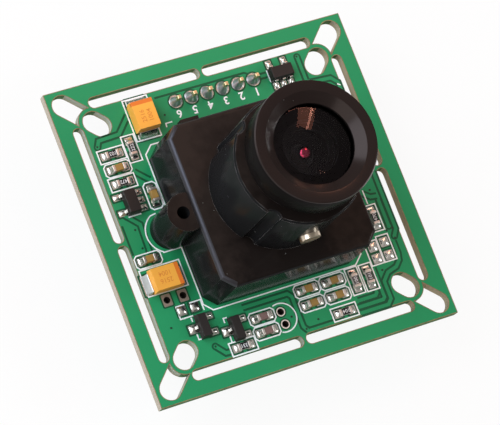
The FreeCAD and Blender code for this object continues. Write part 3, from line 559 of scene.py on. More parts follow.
def grain_group():
    """Colour, roughness and height that vary over a surface: soft blotches change the colour,
    fine grain changes the roughness and stands up as relief."""
    found = bpy.data.node_groups.get("surface_grain")
    if found:
        return found
    group, given, out = node_group(
        "surface_grain",
        [("Colour", "NodeSocketColor", (0.5, 0.5, 0.5, 1)), ("Blotch", "NodeSocketFloat", 0.1),
         ("Blotch Scale", "NodeSocketFloat", 300.0), ("Grain Scale", "NodeSocketFloat", 6000.0),
         ("Roughness", "NodeSocketFloat", 0.5), ("Spread", "NodeSocketFloat", 0.1)],
        [("Colour", "NodeSocketColor"), ("Roughness", "NodeSocketFloat"),
         ("Height", "NodeSocketFloat")])
    blotch = noise(group, given.outputs["Blotch Scale"], 3)
    fine = noise(group, given.outputs["Grain Scale"], 4)
    amount = math_node(group, "MULTIPLY", math_node(group, "SUBTRACT", blotch, 0.5),
                       given.outputs["Blotch"])
    gain = math_node(group, "ADD", math_node(group, "MULTIPLY", amount, 2.0), 1.0)
    scaled = group.nodes.new("ShaderNodeVectorMath")
    scaled.operation = "SCALE"
    group.links.new(given.outputs["Colour"], scaled.inputs[0])
    group.links.new(gain, scaled.inputs["Scale"])
    group.links.new(scaled.outputs[0], out.inputs["Colour"])
    swing = math_node(group, "MULTIPLY", math_node(group, "SUBTRACT", fine, 0.5),
                      given.outputs["Spread"])
    group.links.new(math_node(group, "ADD", swing, given.outputs["Roughness"], clamp=True),
                    out.inputs["Roughness"])
    group.links.new(fine, out.inputs["Height"])
    return group


def dust_group():
    """A mask of tiny specks: points nearer than a size to the centre of a random cell."""
    found = bpy.data.node_groups.get("dust_specks")
    if found:
        return found
    group, given, out = node_group(
        "dust_specks",
        [("Scale", "NodeSocketFloat", 1300.0), ("Size", "NodeSocketFloat", 0.05)],
        [("Mask", "NodeSocketFloat")])
    cells = group.nodes.new("ShaderNodeTexVoronoi")
    group.links.new(given.outputs["Scale"], cells.inputs["Scale"])
    group.links.new(object_coordinates(group), cells.inputs["Vector"])
    near = math_node(group, "LESS_THAN", cells.outputs["Distance"], given.outputs["Size"])
    rare = math_node(group, "GREATER_THAN", noise(group, 500.0, 2), 0.55)
    group.links.new(math_node(group, "MULTIPLY", near, rare), out.inputs["Mask"])
    return group


def finish(name, colour, roughness, metallic=0.0, blotch=0.12, blotch_scale=300.0,
           grain_scale=6000.0, spread=0.12, bump=0.1, height=0.02, dust=0.0, recolour=None,
           **sockets):
    """A material whose colour and roughness vary by the grain group. recolour takes the tree
    and the colour and gives back the colour to use; bump's height is in millimetres."""
    found = bpy.data.materials.get(name)
    if found:
        return found
    made = bpy.data.materials.new(name)
    made.use_nodes = True
    tree = made.node_tree
    shader = tree.nodes["Principled BSDF"]
    grain = tree.nodes.new("ShaderNodeGroup")
    grain.node_tree = grain_group()
    grain.inputs["Colour"].default_value = tuple(colour)[:3] + (1,)
    for label, value in (("Blotch", blotch), ("Blotch Scale", blotch_scale),
                         ("Grain Scale", grain_scale), ("Roughness", roughness),
                         ("Spread", spread)):
        grain.inputs[label].default_value = value
    shade = grain.outputs["Colour"]
    if recolour:
        shade = recolour(tree, shade)
    if dust:
        specks = tree.nodes.new("ShaderNodeGroup")
        specks.node_tree = dust_group()
        specks.inputs["Size"].default_value = dust
        shade = mix_colour(tree, specks.outputs["Mask"], shade, (0.45, 0.45, 0.45, 1))
    tree.links.new(shade, shader.inputs["Base Color"])
    shader.inputs["Roughness"].default_value = roughness
    if spread:
        tree.links.new(grain.outputs["Roughness"], shader.inputs["Roughness"])
    if bump:
        relief = tree.nodes.new("ShaderNodeBump")
        relief.inputs["Strength"].default_value = bump
        relief.inputs["Distance"].default_value = height * MM
        tree.links.new(grain.outputs["Height"], relief.inputs["Height"])
        tree.links.new(relief.outputs["Normal"], shader.inputs["Normal"])
    shader.inputs["Metallic"].default_value = metallic
    for label, value in sockets.items():
        shader.inputs[label.replace("_", " ")].default_value = value
    return made


def solder_finish():
    """Bright tin with duller patches."""
    look = bpy.context.scene.module_parts
    return finish("bright_solder", look.solder, 0.24, metallic=1.0, blotch=0.2,
                  blotch_scale=1500.0, grain_scale=3500.0, spread=0.24, bump=0.08)


def gap_finish():
    """Mask over bare laminate, darker than over copper."""
    look = bpy.context.scene.module_board
    return finish("bare_gap", look.gap, 0.38, blotch=0.15, blotch_scale=400.0,
                  grain_scale=5200.0, Specular_IOR_Level=0.32)


def glass_finish(name, tint):
    """Coated glass: clear inside, with a tinted reflection."""
    return finish(name, (0.9, 0.9, 0.9), 0.01, blotch=0.02, spread=0.0, bump=0.0,
                  Transmission_Weight=1.0, IOR=1.5, Specular_Tint=tuple(tint)[:3] + (1,))


# ---------------------------------------------------------------- board artwork


def chip_outlines():
    """Printed boxes round the two-ended chips, with cut corners round the capacitors."""
    paths = []
    for node in cores_named("chip_resistor_", "chip_capacitor_"):
        low, high = node_box(node)
        middle = (low + high)[:2] / 2
        half = np.array([1.6, 0.78] if high[0] - low[0] > 0.9 else [0.78, 1.6])
        corner = 0.32 if "capacitor" in node else 0.0
        paths.append(box_outline(middle - half, middle + half, corner))
    return paths


INK_LOOPS = [
    box_outline((-10.35, 10.8), (-7.3, 15.8)),
    box_outline((-15.75, -6.6), (-10.8, -3.5)),
    box_outline((11.1, -10.9), (12.7, -8.05)),
    box_outline((12.8, -10.9), (14.35, -7.75)),
]
INK_LINES = [
    [(-9.95, 2.3), (-9.95, 9.1), (-8.95, 10.05), (9.2, 10.05), (10.3, 9.0), (10.3, 2.3)],
    [(-9.95, -2.25), (-9.95, -9.25), (-9.05, -10.17), (9.2, -10.17), (10.35, -9.1),
     (10.35, -2.25)],
    [(-9.95, -2.25), (-12.15, -2.25), *arc((-10.9, 0), 2.5, 240, 118, 16), (-11.4, 2.3)],
    [(-14.6, 2.75), (-13.0, 2.75)],
    [(7.75, 13.2), (7.75, 14.7)],
    [(-11.9, -10.25), (-11.9, -10.75)],
    [(-11.95, -12.25), (-11.95, -12.9), (-11.2, -12.9)],
    [(-7.9, -11.45), (-8.35, -11.45), (-8.35, -12.0)],
    [(-8.35, -13.6), (-8.35, -14.3)],
    [(-12.1, -8.6), (-13.15, -8.6), (-13.15, -10.1), (-11.6, -10.1)],
    [(-11.5, -8.6), (-10.1, -8.6), (-10.1, -9.85)],
    arc((-1.6, -13.4), 1.7, 112, -112, 26),
    [(13.45, -3.8), (13.45, -2.1)],
    [(15.5, 10.85), (15.85, 10.6)],
    [(-6.35, 11.5), (-6.3, 11.95), (-5.5, 11.95)],
]
TRACKS = [
    [(-15.08, 11.45), (-14.7, 12.15), (-12.1, 12.25), (-10.3, 14.1)],
    [(-15.0, 3.1), (-13.6, 1.6), (-13.7, -1.7)],
    [(-12.0, 7.6), (-10.6, 6.2), (-10.3, 6.2)],
    [(-10.4, -14.2), (-9.5, -15.25), (-8.9, -15.3)],
    [(-5.7, -10.95), (0.0, -10.95), (0.4, -11.4), (0.4, -15.1), (0.8, -15.7)],
    [(7.9, -14.2), (10.15, -14.2), (10.4, -13.95), (10.4, -13.6)],
    [(7.6, -14.93), (10.85, -14.93), (11.1, -14.7), (11.1, -11.1)],
    [(7.6, -15.65), (11.25, -15.65), (11.8, -15.1), (11.8, -12.95), (12.65, -12.1),
     (13.9, -11.75), (14.55, -11.1), (14.75, -10.3), (14.75, -8.8)],
    [(15.62, -0.3), (15.62, -7.5), (15.1, -8.3)],
    [(14.9, -3.6), (14.9, -7.0)],
    [(12.0, 12.3), (12.0, 15.25)],
    [(12.4, 11.9), (15.0, 11.75), (15.7, 11.0), (15.7, 8.4)],
    [(13.2, -2.4), (14.1, -3.1), (14.9, -3.2)],
]
ROUND_ENDS = ((-10.4, -14.2), (12.0, 15.25), (-15.08, 11.45), (15.1, -8.3), (14.9, -7.0))
GAPS = [
    [(-6.5, 15.15), (5.0, 15.15), (5.6, 14.8)],
    [(0.75, -12.0), (0.75, -15.05), (1.1, -15.42), (4.2, -15.42)],
    [(-15.7, 2.0), (-15.7, -1.6)],
    [(6.6, 14.5), (7.6, 14.5)],
    [(6.6, 13.9), (7.6, 13.9)],
]
SQUARE_PADS = ((-13.85, -7.55), (-11.85, -7.55))
ROUND_PADS = ((-1.55, -12.7), (-1.55, -14.2))
VIAS = [
    (-15.1, 11.5), (-6.05, 12.95), (-14.4, 1.15), (-14.35, -1.1), (-14.55, -10.7),
    (-10.4, -14.2), (-0.65, -11.9), (-0.5, -13.6), (0.65, -15.45), (2.45, -14.8), (12.1, -11.65),
    (14.35, -2.3), (15.25, -7.3), (15.1, -8.5), (14.45, -7.4), (11.95, 15.3),
]


def board_recolour(tree, shade):
    """Mask on the two faces, bare laminate on the routed edges, told apart by the normal. In
    the slots the laminate carries painted shade: it is darker and browner than on the outer
    edge, darker and browner towards its foot, browner in patches that grow to the right, and
    the walls that face -Y are painted dark green. The laminate doesn't shine."""
    look = bpy.context.scene.module_board
    normal = surface_normal(tree)
    place = separated(tree, object_coordinates(tree))
    flat = math_node(tree, "GREATER_THAN", math_node(tree, "ABSOLUTE", normal[2]), 0.5)
    reach = math_node(tree, "MAXIMUM", *(math_node(tree, "ABSOLUTE", place[axis])
                                         for axis in (0, 1)))
    # painted shade: inside the slots the laminate takes a darker, browner colour than on the
    # outer edge
    inside = math_node(tree, "LESS_THAN", reach, OUTER_FACE * MM)
    outer = mix_colour(tree, noise(tree, 9000.0, 3), tuple(look.laminate),
                       (0.36, 0.30, 0.22, 1))
    # painted shade: the brown patches grow to the right, where less light falls
    rightward_shade = math_node(tree, "MULTIPLY", place[0], 0.012 / MM)
    patch = ramp(tree, math_node(tree, "ADD", noise(tree, 70.0, 2), rightward_shade), 0.5, 7.0)
    rise = math_node(tree, "DIVIDE", place[2], BOARD_TOP * MM, clamp=True)
    wall = mix_colour(tree, rise, (0.35, 0.32, 0.23, 1), (0.47, 0.53, 0.46, 1))
    wall = mix_colour(tree, patch, wall, (0.43, 0.37, 0.26, 1))
    edge = mix_colour(tree, inside, outer, wall)
    # painted shade: the walls that face -Y are painted dark green
    front = math_node(tree, "LESS_THAN", normal[1], -0.85)
    edge = mix_colour(tree, front, edge, (0.13, 0.22, 0.11, 1))
    tree.links.new(math_node(tree, "MULTIPLY", flat, 0.32),
                   tree.nodes["Principled BSDF"].inputs["Specular IOR Level"])
    return mix_colour(tree, flat, edge, shade)


def obround(first, second, radius, count=12):
    """Outline of a straight slot: two half circles about its end centres."""
    first, second = np.array(first, float), np.array(second, float)
    heading = math.degrees(math.atan2(*(second - first)[::-1]))
    return np.concatenate([arc(second, radius, heading - 90, heading + 90, count),
                           arc(first, radius, heading + 90, heading + 270, count)])


def routed_outlines(spread):
    """Outlines of the board and of its routed slots, each moved into the board by a spread."""
    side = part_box("circuit_board")[1].x / MM - spread
    paths = [box_outline((-side, -side), (side, side))]
    width = SLOT_HALF_WIDTH + spread
    turns = [np.array([[x, y], [-y, x]]) for x, y in ((1, 0), (0, 1), (-1, 0), (0, -1))]
    corner = CORNER_HALF_WIDTH + spread
    ring = CORNER_RING - spread
    open_end = math.degrees(math.asin(corner / ring))
    for turn in turns:
        for near, far in SLOT_ENDS:
            paths.append(obround((near, SLOT_LINE), (far, SLOT_LINE), width) @ turn)
        paths.append(obround(*CORNER_SLOT, corner) @ turn)
        hole = np.concatenate([arc(CORNER_OPENING, corner, -45, 135, 14),
                               arc(CORNER_SLOT[1], ring, 45 + open_end, 45 - open_end, 8)])
        paths.append(hole @ turn)
    return paths


class MODULE_OT_board(bpy.types.Operator):
    """Solder mask on the board, with copper tracks, gaps and vias under it."""

    bl_idname = "module.board"
    bl_label = "Printed board"

    def execute(self, context):
        look = context.scene.module_board
        coat("circuit_board", finish(
            "green_mask", look.mask, 0.3, blotch=0.06, blotch_scale=130.0, grain_scale=5200.0,
            spread=0.1, bump=0.12, recolour=board_recolour))
        track = finish("masked_track", look.mask, 0.34, blotch=0.08, grain_scale=5200.0,
                       Specular_IOR_Level=0.32)
        width, gap = look.track_width / MM, look.track_gap / MM
        wide = width + 2 * gap
        gaps = (strips(TRACKS, wide, GAP_RISE) + strips(GAPS, gap, GAP_RISE + 0.006)
                + dots(ROUND_ENDS, wide / 2, GAP_RISE + 0.0085))
        piece("mask_gaps", gaps, gap_finish(), "board_assembly")
        tracks = (strips(TRACKS, width, TRACK_RISE)
                  + dots(ROUND_ENDS, width / 2 + 0.04, TRACK_RISE + 0.006))
        piece("copper_tracks", tracks, track, "board_assembly")
        hollow = finish("via_dimple", (0.003, 0.03, 0.014), 0.5, blotch=0.1)
        vias = dots(VIAS, 0.13, TRACK_RISE + 0.010, step=0, count=12)
        piece("via_dimples", vias, hollow, "board_assembly")
        bared = finish("bared_edge", (0.26, 0.155, 0.075), 0.6, blotch=0.9, blotch_scale=1500.0)
        rims = strips(routed_outlines(0.04), 0.075, GAP_RISE, step=0, closed=True)
        piece("routed_rims", rims, bared, "board_assembly")
        return {"FINISHED"}


class MODULE_OT_ink(bpy.types.Operator):
    """Printed outlines of the parts and plain pin numbers."""

    bl_idname = "module.ink"
    bl_label = "Printed outlines"

    def execute(self, context):
        look = context.scene.module_board
        ink = finish("white_ink", look.ink, 0.5, blotch=0.06, blotch_scale=2500.0, bump=0.2,
                     Specular_IOR_Level=1.0)
        width = look.ink_width / MM
        parts = strips(INK_LOOPS + chip_outlines(), width, INK_RISE, INK_STEP, closed=True)
        # ten steps down at most, so that every line stays above the tracks
        for lines in (INK_LINES[:10], INK_LINES[10:]):
            parts += strips(lines, width, INK_RISE - INK_STEP, -INK_STEP)
        piece("printed_outlines", parts, ink, "board_assembly")
        pins = reversed(solids_of("header_pins"))
        numbers = [digits(str(number), 0.98, ((start + end)[0] / 2 - 0.1, 12.58), 180,
                          BOARD_TOP + 0.01, bold=0.02)
                   for number, (start, end) in enumerate(pins, 1)]
        piece("pin_numbers", numbers, ink, "board_assembly", clean=False)
        return {"FINISHED"}


class MODULE_OT_pads(bpy.types.Operator):
    """Tinned pads under the parts' ends and leads, and rings round the plated holes."""

    bl_idname = "module.pads"
    bl_label = "Pads"

    def execute(self, context):
        pads, gaps = self.under_parts()
        gaps += self.round_holes()
        piece("tinned_pads", pads, solder_finish(), "board_assembly", angle=60)
        piece("pad_clearances", gaps, gap_finish(), "board_assembly")
        return {"FINISHED"}

    def under_parts(self):
        """The pads under the ends, leads and pins, and the bare gaps round them."""
        edge = BOARD_TOP + PAD_GAP_RISE
        high = BOARD_TOP + PAD_RISE
        pads, gaps = [], []
        ends = ("_end_caps", "_end_tabs", "_leads", "bare_pad_solder")
        for node in sorted(name for name in frame["nodes"] if name.endswith(ends)):
            for start, end in solids_of(node):
                if start[2] > SUNK:
                    if node.endswith("_leads"):
                        start, end = self.foot(node, start, end)
                        pads += mound(start, end, 0.26)
                    outline = box_outline(start - PAD_MARGIN, end + PAD_MARGIN, 0.08)
                    pads.append(prism(outline, SUNK, high))
                    outline = box_outline(start - GAP_MARGIN, end + GAP_MARGIN, 0.1)
                    gaps.append(prism(outline, SUNK, edge + PAD_STEP * (len(gaps) % 14)))
        for start, end in solids_of("header_solder_joints"):
            middle = ((start + end) / 2)[:2]
            pads.append(disc(middle, 0.78, SUNK, high, 28))
            gaps.append(disc(middle, 0.98, SUNK, edge))
        return pads, gaps

    def round_holes(self):
        """The bare pads with their plated holes. Gives back the bare gaps round them."""
        edge = BOARD_TOP + PAD_GAP_RISE
        high = BOARD_TOP + PAD_RISE
        square_pads, round_pads, gaps = [], [], []
        for place in SQUARE_PADS:
            half = np.array([0.55, 0.7])
            outline = box_outline(place - half, place + half, 0.05)
            square_pads.append(holed_pad(outline, place, PIN_HOLE, high))
            half += 0.17
            outline = box_outline(place - half, place + half, 0.12)
            gaps.append(holed_pad(outline, place, PIN_HOLE + 0.05, edge))
        for place in ROUND_PADS:
            round_pads.append(holed_pad(arc(place, 0.54, 0, 345, 24), place, PIN_HOLE, high))
            gaps.append(disc(place, 0.70, SUNK, edge, hole=PIN_HOLE + 0.05))
        brown = finish("bare_pad_tin", (0.40, 0.33, 0.27), 0.45, metallic=0.6, blotch=0.2,
                       blotch_scale=1500.0)
        piece("hole_pads", square_pads, brown, "board_assembly", angle=60)
        pale = finish("round_pad_tin", (0.90, 0.78, 0.70), 0.5, metallic=0.3, blotch=0.2,
                      blotch_scale=1500.0)
        piece("round_pads", round_pads, pale, "board_assembly", angle=60)
        # painted shade: the plated linings are near-black and hardly shine, and their lower part
        # narrows each hole, so that the holes read dark
        dull = finish("hole_lining", (0.020, 0.015, 0.011), 0.6, blotch=0.2,
                      Specular_IOR_Level=0.04)
        linings = [disc(place, PIN_HOLE + 0.01, bottom, top, 32, hole)
                   for bottom, top, hole in ((0.3, high - 0.004, 0.35), (-0.005, 0.3, 0.17))
                   for place in SQUARE_PADS + ROUND_PADS]
        piece("plated_linings", linings, dull, "board_assembly")
        return gaps

    def foot(self, node, start, end):
        """The solder under a lead: longer than it on the side away from the case, and broad
        where a transistor has a single lead."""
        low, high = node_box(node.replace("_leads", ""))
        away = ((start + end) - (low + high))[:2] / 2
        axis = int(np.argmax(np.abs(away) / (high - low)[:2]))
        start, end = start - (0.08, 0.08, 0), end + (0.08, 0.08, 0)
        if away[axis] < 0:
            start[axis] -= 0.22
        else:
            end[axis] += 0.22
        if node.startswith("transistor") and away[axis] < 0:
            start[1 - axis] -= 0.15
            end[1 - axis] += 0.15
        return start, end


def mound(start, end, rise):
    """A low heap over a rectangle. Its height falls off towards each side by the power 2.3 of
    the share of the way from the middle to that side."""
    u, v = np.meshgrid(np.linspace(-1, 1, 11), np.linspace(-1, 1, 11), indexing="ij")
    middle, half = (start + end) / 2, (end - start) / 2
    height = start[2] + 0.02 + rise * (1 - np.abs(u)**2.3) * (1 - np.abs(v)**2.3)
    top = np.stack([middle[0] + half[0] * u, middle[1] + half[1] * v, height], axis=-1)
    return with_base(top, start[2])


def holed_pad(outline, centre, hole_radius, high):
    """A flat pad with a lined hole: a loop of its outline, a loop round the hole, and the
    hole's wall down to its foot, each point of the hole facing one of the outline."""
    outline = np.asarray(outline, float)
    count = 32
    turn = np.linspace(0, 2 * math.pi, count, endpoint=False)
    closed = np.concatenate([outline, outline[:1]])
    length = np.concatenate([[0], np.cumsum(np.linalg.norm(np.diff(closed, axis=0), axis=1))])
    bearing = np.unwrap(np.arctan2(closed[:, 1] - centre[1], closed[:, 0] - centre[0]))
    turn += bearing[0]
    along = np.interp(turn, bearing, length)
    rim = np.column_stack([np.interp(along, length, closed[:, axis]) for axis in (0, 1)])
    hole, back = (np.column_stack([centre[0] + radius * np.cos(turn),
                                   centre[1] + radius * np.sin(turn)])
                  for radius in (hole_radius, hole_radius + 0.03))
    loops = [(rim, SUNK), (rim, high), (hole, high), (hole, SUNK), (back, SUNK), (back, SUNK)]
    points = np.stack([np.column_stack([loop, np.full(count, level)]) for loop, level in loops])
    return grid(points, close_rows=True, close_columns=True)


# ---------------------------------------------------------------- holder and lens


def dusty_recolour(tree, shade):
    """A brown bloom on the faces that look up, broken by noise: partly dust, partly painted
    light, as it grows towards one corner as a painted reflection and to the right where the
    lens shades the tops. It has a band 8.6 mm left of the middle. The upright faces carry
    painted shade: they are darker."""
    place = object_coordinates(tree)
    # painted reflection: the bloom grows towards the -x, +y corner, where the tops reflect more
    # light
    corner = share_along(tree, place, (-30.0, 45.0, 0.0))
    across = separated(tree, place)[0]
    # painted light: the bloom grows to the right, where the lens shades the tops
    right = ramp(tree, across, 1.0 * MM, 0.2 / MM)
    away = math_node(tree, "ABSOLUTE", math_node(tree, "ADD", across, 8.6 * MM))
    border = ramp(tree, away, 0.5 / 0.14 * MM, -0.14 / MM)
    dust_and_light_cloud = math_node(tree, "ADD", corner, noise(tree, 900.0, 5))
    dust_and_light_cloud = math_node(tree, "ADD", math_node(tree, "ADD", dust_and_light_cloud, right), -0.45)
    amount = math_node(tree, "ADD", dust_and_light_cloud, border, clamp=True)
    # painted shade: the upright faces take a darker colour than the tops
    upward = math_node(tree, "GREATER_THAN", surface_normal(tree)[2], 0.7)
    shade = mix_colour(tree, upward, (0.0120, 0.0122, 0.0128, 1), shade)
    return mix_colour(tree, math_node(tree, "MULTIPLY", amount, upward), shade,
                      (0.036, 0.026, 0.022, 1))


def worn_recolour(tree, shade):
    """Pale edges in broken stretches above the box: partly rubbed wear, partly a painted
    highlight along the rounded edges. Below the box they are as dark as the rest.
    """
    height = separated(tree, object_coordinates(tree))[2]
    high = math_node(tree, "GREATER_THAN", height, BOX_TOP * MM)
    patch = ramp(tree, noise(tree, 900.0, 4), 0.35, 3.0)
    return mix_colour(tree, math_node(tree, "MULTIPLY", high, patch), shade,
                      (0.42, 0.40, 0.39, 1))


class MODULE_OT_holder(bpy.types.Operator):
    """Moulded holder with softened edges, and its slotted set screw."""

    bl_idname = "module.holder"
    bl_label = "Lens holder"

    def execute(self, context):
        look = context.scene.module_holder
        # the moulding's colour: dust, with painted light on the tops and painted shade on the
        # upright faces
        plastic = finish("moulded_black", look.plastic, look.roughness, blotch=0.25,
                         blotch_scale=260.0, grain_scale=5000.0, spread=0.1, bump=0.3,
                         height=0.01, dust=0.04, recolour=dusty_recolour,
                         Specular_IOR_Level=0.048)
        # the rounded edges' material: pale above the box, partly wear, partly a painted highlight
        worn = finish("moulded_edge", look.plastic, 0.34, blotch=0.4, blotch_scale=1500.0,
                      grain_scale=9000.0, spread=0.2, bump=0.3, recolour=worn_recolour,
                      Specular_IOR_Level=0.08)
        # painted highlight: a lighter, shinier copy of the plastic with a bluish reflection, for
        # the fillets and sloping faces that face the lamp on the left
        fillet_sheen = finish("rubbed_fillet", (0.016, 0.013, 0.012), 0.36, blotch=0.3,
                        blotch_scale=700.0, grain_scale=9000.0, spread=0.2, bump=0.3,
                        height=0.01, Specular_IOR_Level=0.64,
                        Specular_Tint=(0.78, 0.82, 1.0, 1))
        moulding = dressed("lens_holder", "holder_moulding", plastic,
                           look.edge, worn=worn)
        moulding.data.materials.append(fillet_sheen)
        # the faces that lean to the left and up, below the slopes' top, take the painted
        # highlight
        repaint(moulding, 2, lambda normal, middle: (
            (normal[2] > 0.15) & (normal[2] < 0.97) & (normal[0] < -0.15)
            & (middle[2] < SLOPE_TOP)))
        rims = [disc((side * EAR_DISTANCE, 0), 0.95, EAR_TOP, EAR_TOP + 0.203, 40, hole=0.735)
                for side in (-1, 1)]
        piece("screw_hole_rims", rims, plastic, "board_assembly")
        steel = finish("bright_steel", (0.76, 0.64, 0.50), 0.3, metallic=1.0, blotch=0.15,
                       blotch_scale=2000.0, grain_scale=9000.0)
        dressed("set_screw", "slotted_screw", steel, 0.00008)
        # painted shade: the screws under the ears are near-black, so that they read dark down the
        # screw holes
        dark = finish("blackened_steel", (0.03, 0.03, 0.032), 0.35, metallic=0.8, blotch=0.2)
        dressed("holder_screws", "back_screws", dark, 0.00015)
        return {"FINISHED"}


def barrel_profile():
    """Radius and height along the turned barrel's outside, from the thread's end up over the
    head's two edges and down its bevel to the lip."""
    radius, front = BARREL_HIGH[0], BARREL_HIGH[2]
    shoulder = front - HEAD_DEPTH
    return [
        (THREAD_RADIUS, shoulder + 0.02), (6.35, shoulder), (radius - 0.16, shoulder),
        (radius - 0.05, shoulder + 0.04), (radius, shoulder + 0.16),
        (radius, front - 0.15), (radius - 0.04, front - 0.05), (radius - 0.14, front),
        (5.82, front), (5.76, front - 0.015), (5.72, front - 0.05),
        (4.66, front - 0.78), (4.61, front - 0.83), (BORE, front - 0.9),
        (BORE, front - LIP_DEPTH),
    ]


class MODULE_OT_barrel(bpy.types.Operator):
    """Anodised barrel: turned head and a fine thread below it."""

    bl_idname = "module.barrel"
    bl_label = "Lens barrel"

    def execute(self, context):
        look = context.scene.module_lens
        turned = {"blotch_scale": 200.0, "grain_scale": 7000.0, "spread": 0.08, "bump": 0.2,
                  "height": 0.006}
        metal = finish("anodised_black", look.metal, 0.22, blotch=0.15, dust=0.035,
                       Specular_IOR_Level=0.22, Specular_Tint=(1.0, 0.84, 0.80, 1), **turned)
        # painted shade: a darker copy of the anodising that hardly reflects, for the upright
        # faces below the head's front
        flank = finish("anodised_flank", (0.0075, 0.0062, 0.0060), 0.26, blotch=0.2, dust=0.03,
                       Specular_IOR_Level=0.012, **turned)
        low, front = BARREL_LOW[2], BARREL_HIGH[2]
        inside = [(BORE, front - LIP_DEPTH), (5.2, front - LIP_DEPTH - 0.01), (5.2, low + 0.3),
                  (5.35, low), (THREAD_END, low)]
        parts = [lathe(barrel_profile(), 160), thread_surface(look), lathe(inside, 120)]
        barrel = piece("turned_barrel", parts, metal, "lens", ["lens_barrel"],
                       angle=24)
        barrel.data.materials.append(flank)
        # the upright faces below the front take the darker copy, as painted shade
        repaint(barrel, 1, lambda normal, middle: (
            (middle[2] < front - 0.2) & (np.abs(normal[2]) < 0.5)))
        return {"FINISHED"}


def thread_surface(look):
    """The barrel's outside below the head. The radius is the barrel's, less a triangle wave of
    the height over the pitch less the share of a turn, so that the crests climb as a screw."""
    low, high = BARREL_LOW[2], BARREL_HIGH[2] - HEAD_DEPTH + 0.02
    pitch, depth = look.thread_pitch / MM, look.thread_depth / MM
    angle = np.linspace(0, 2 * math.pi, 96, endpoint=False)
    height = np.linspace(low, high, int((high - low) / pitch * 6))
    angle, height = np.meshgrid(angle, height, indexing="ij")
    wave = np.abs(((height / pitch - angle / (2 * math.pi)) % 1.0) * 2 - 1)
    ease = np.clip((height - low) / 0.5, 0, 1) * np.clip((high - height) / 0.12, 0, 1)
    radius = np.where(height == low, THREAD_END, THREAD_RADIUS - depth * wave * ease)
    points = np.stack([radius * np.cos(angle), radius * np.sin(angle), height], axis=-1)
    return grid(points, close_rows=True)


class MODULE_OT_glass(bpy.types.Operator):
    """Front glass and what shows behind it: stepped black wells, a ring and a coated element."""

    bl_idname = "module.glass"
    bl_label = "Lens glass"

    def execute(self, context):
        look = context.scene.module_lens
        low, high = node_box("front_glass")
        base, seat = low[2], high[2] - 0.726
        profile = np.concatenate([
            dome(GLASS_SPHERE, GLASS_REACH, seat, 24),
            [(5.1, seat), (5.14, base + 0.02), (5.1, base), (0, base)]])
        front = piece("front_element", [lathe(profile, 128)],
                      glass_finish("coated_glass", look.coating), "lens",
                      ["front_glass"], angle=20)
        front.data.materials.append(glass_finish("inner_face", (0.03, 0.03, 0.03)))
        repaint(front, 1, lambda normal, middle: normal[2] < -0.5)
        black = finish("lens_black", (0.0022, 0.0020, 0.0022), 0.7, blotch=0.2, spread=0.0,
                       bump=0.0, Specular_IOR_Level=0.08)
        for node in ("glass_spacer", "aperture_stop", "rear_retaining_ring"):
            dressed(node, f"{node}_ring", black, 0.00005)
        depth = np.linspace(0, 1, 6)
        radius = np.repeat(5.12 - 2.9 * depth, 2)[1:]
        height = np.repeat(base - 0.02 - 1.5 * depth**1.4, 2)[:-1]
        well = lathe(np.column_stack([radius, height]), 96)
        piece("baffle_rings", [well], black, "lens", angle=24)
        inner = finish("coated_element", (0.004, 0.002, 0.003), 0.02, blotch=0.05, spread=0.0,
                       bump=0.0, IOR=3.4, Specular_Tint=(1.0, 0.10, 0.22, 1))
        top = node_box("middle_glass")[1][2]
        profile = np.concatenate([dome(ELEMENT_SPHERE, ELEMENT_REACH, top + 0.02, 16),
                                  [(ELEMENT_REACH, top - 0.3), (0, top - 0.3)]])
        piece("inner_element", [lathe(profile, 72)], inner, "lens", angle=30)
        plain = glass_finish("plain_glass", (0.10, 0.09, 0.10))
        for node in ("middle_glass", "rear_glass"):
            dressed(node, f"{node}_disc", plain, 0)
        return {"FINISHED"}


# ---------------------------------------------------------------- small parts


def joint_surface(start, end, phase):
    """Solder round a pin. The height is four fifths of the joint's times the power 1.3 of the
    share of the way in from the pad's rim; the rim swings a little with twice the angle."""
    middle = ((start + end) / 2)[:2]
    share = np.linspace(1, 0, 14)
    angle = np.linspace(0, 2 * math.pi, 32, endpoint=False)
    angle, share = np.meshgrid(angle, share, indexing="ij")
    radius = (0.26 + 0.49 * share) * (1 + 0.12 * np.cos(2 * angle + phase) * share)
    height = start[2] + (end[2] - start[2]) * 0.8 * (1 - share)**1.3
    points = np.stack([middle[0] + radius * np.cos(angle), middle[1] + radius * np.sin(angle),
                       height], axis=-1)
    foot, top = (np.broadcast_to([*middle, level], (32, 1, 3))
                 for level in (start[2], end[2] * 0.8 + start[2] * 0.2 - 0.02))
    return grid(np.concatenate([foot, points, top], axis=1), close_rows=True)


class MODULE_OT_header(bpy.types.Operator):
    """Soldered pins on the top, and the shrouded header on the back."""

    bl_idname = "module.header"
    bl_label = "Header"

    def execute(self, context):
        tin = finish("joint_solder", (0.62, 0.60, 0.63), 0.46, metallic=1.0, blotch=0.3,
                     blotch_scale=1200.0, grain_scale=2500.0, spread=0.25, bump=0.3)
        joints = [joint_surface(start, end, 1.3 * number)
                  for number, (start, end) in enumerate(solids_of("header_solder_joints"))]
        piece("pin_solder", joints, tin, "board_assembly", ["header_solder_joints"])
        plated = finish("plated_pin", (0.90, 0.72, 0.42), 0.3, metallic=1.0, blotch=0.2,
                        blotch_scale=2500.0)
        dressed("header_pins", "square_pins", plated, 0.00011)
        shell = finish("header_shell_plastic", (0.80, 0.77, 0.68), 0.45, blotch=0.05, bump=0.15)
        dressed("header_shell", "header_housing", shell, 0.00015)
        return {"FINISHED"}


def glaze_recolour(tree, shade):
    """Glaze on the flat top, pale ceramic on the sides, told apart by the normal."""
    flat = math_node(tree, "GREATER_THAN", surface_normal(tree)[2], 0.75)
    return mix_colour(tree, flat, (0.62, 0.60, 0.57, 1), shade)


RESISTOR_FIGURES = ("103", "222", "472", "331", "104", "100", "101", "470")


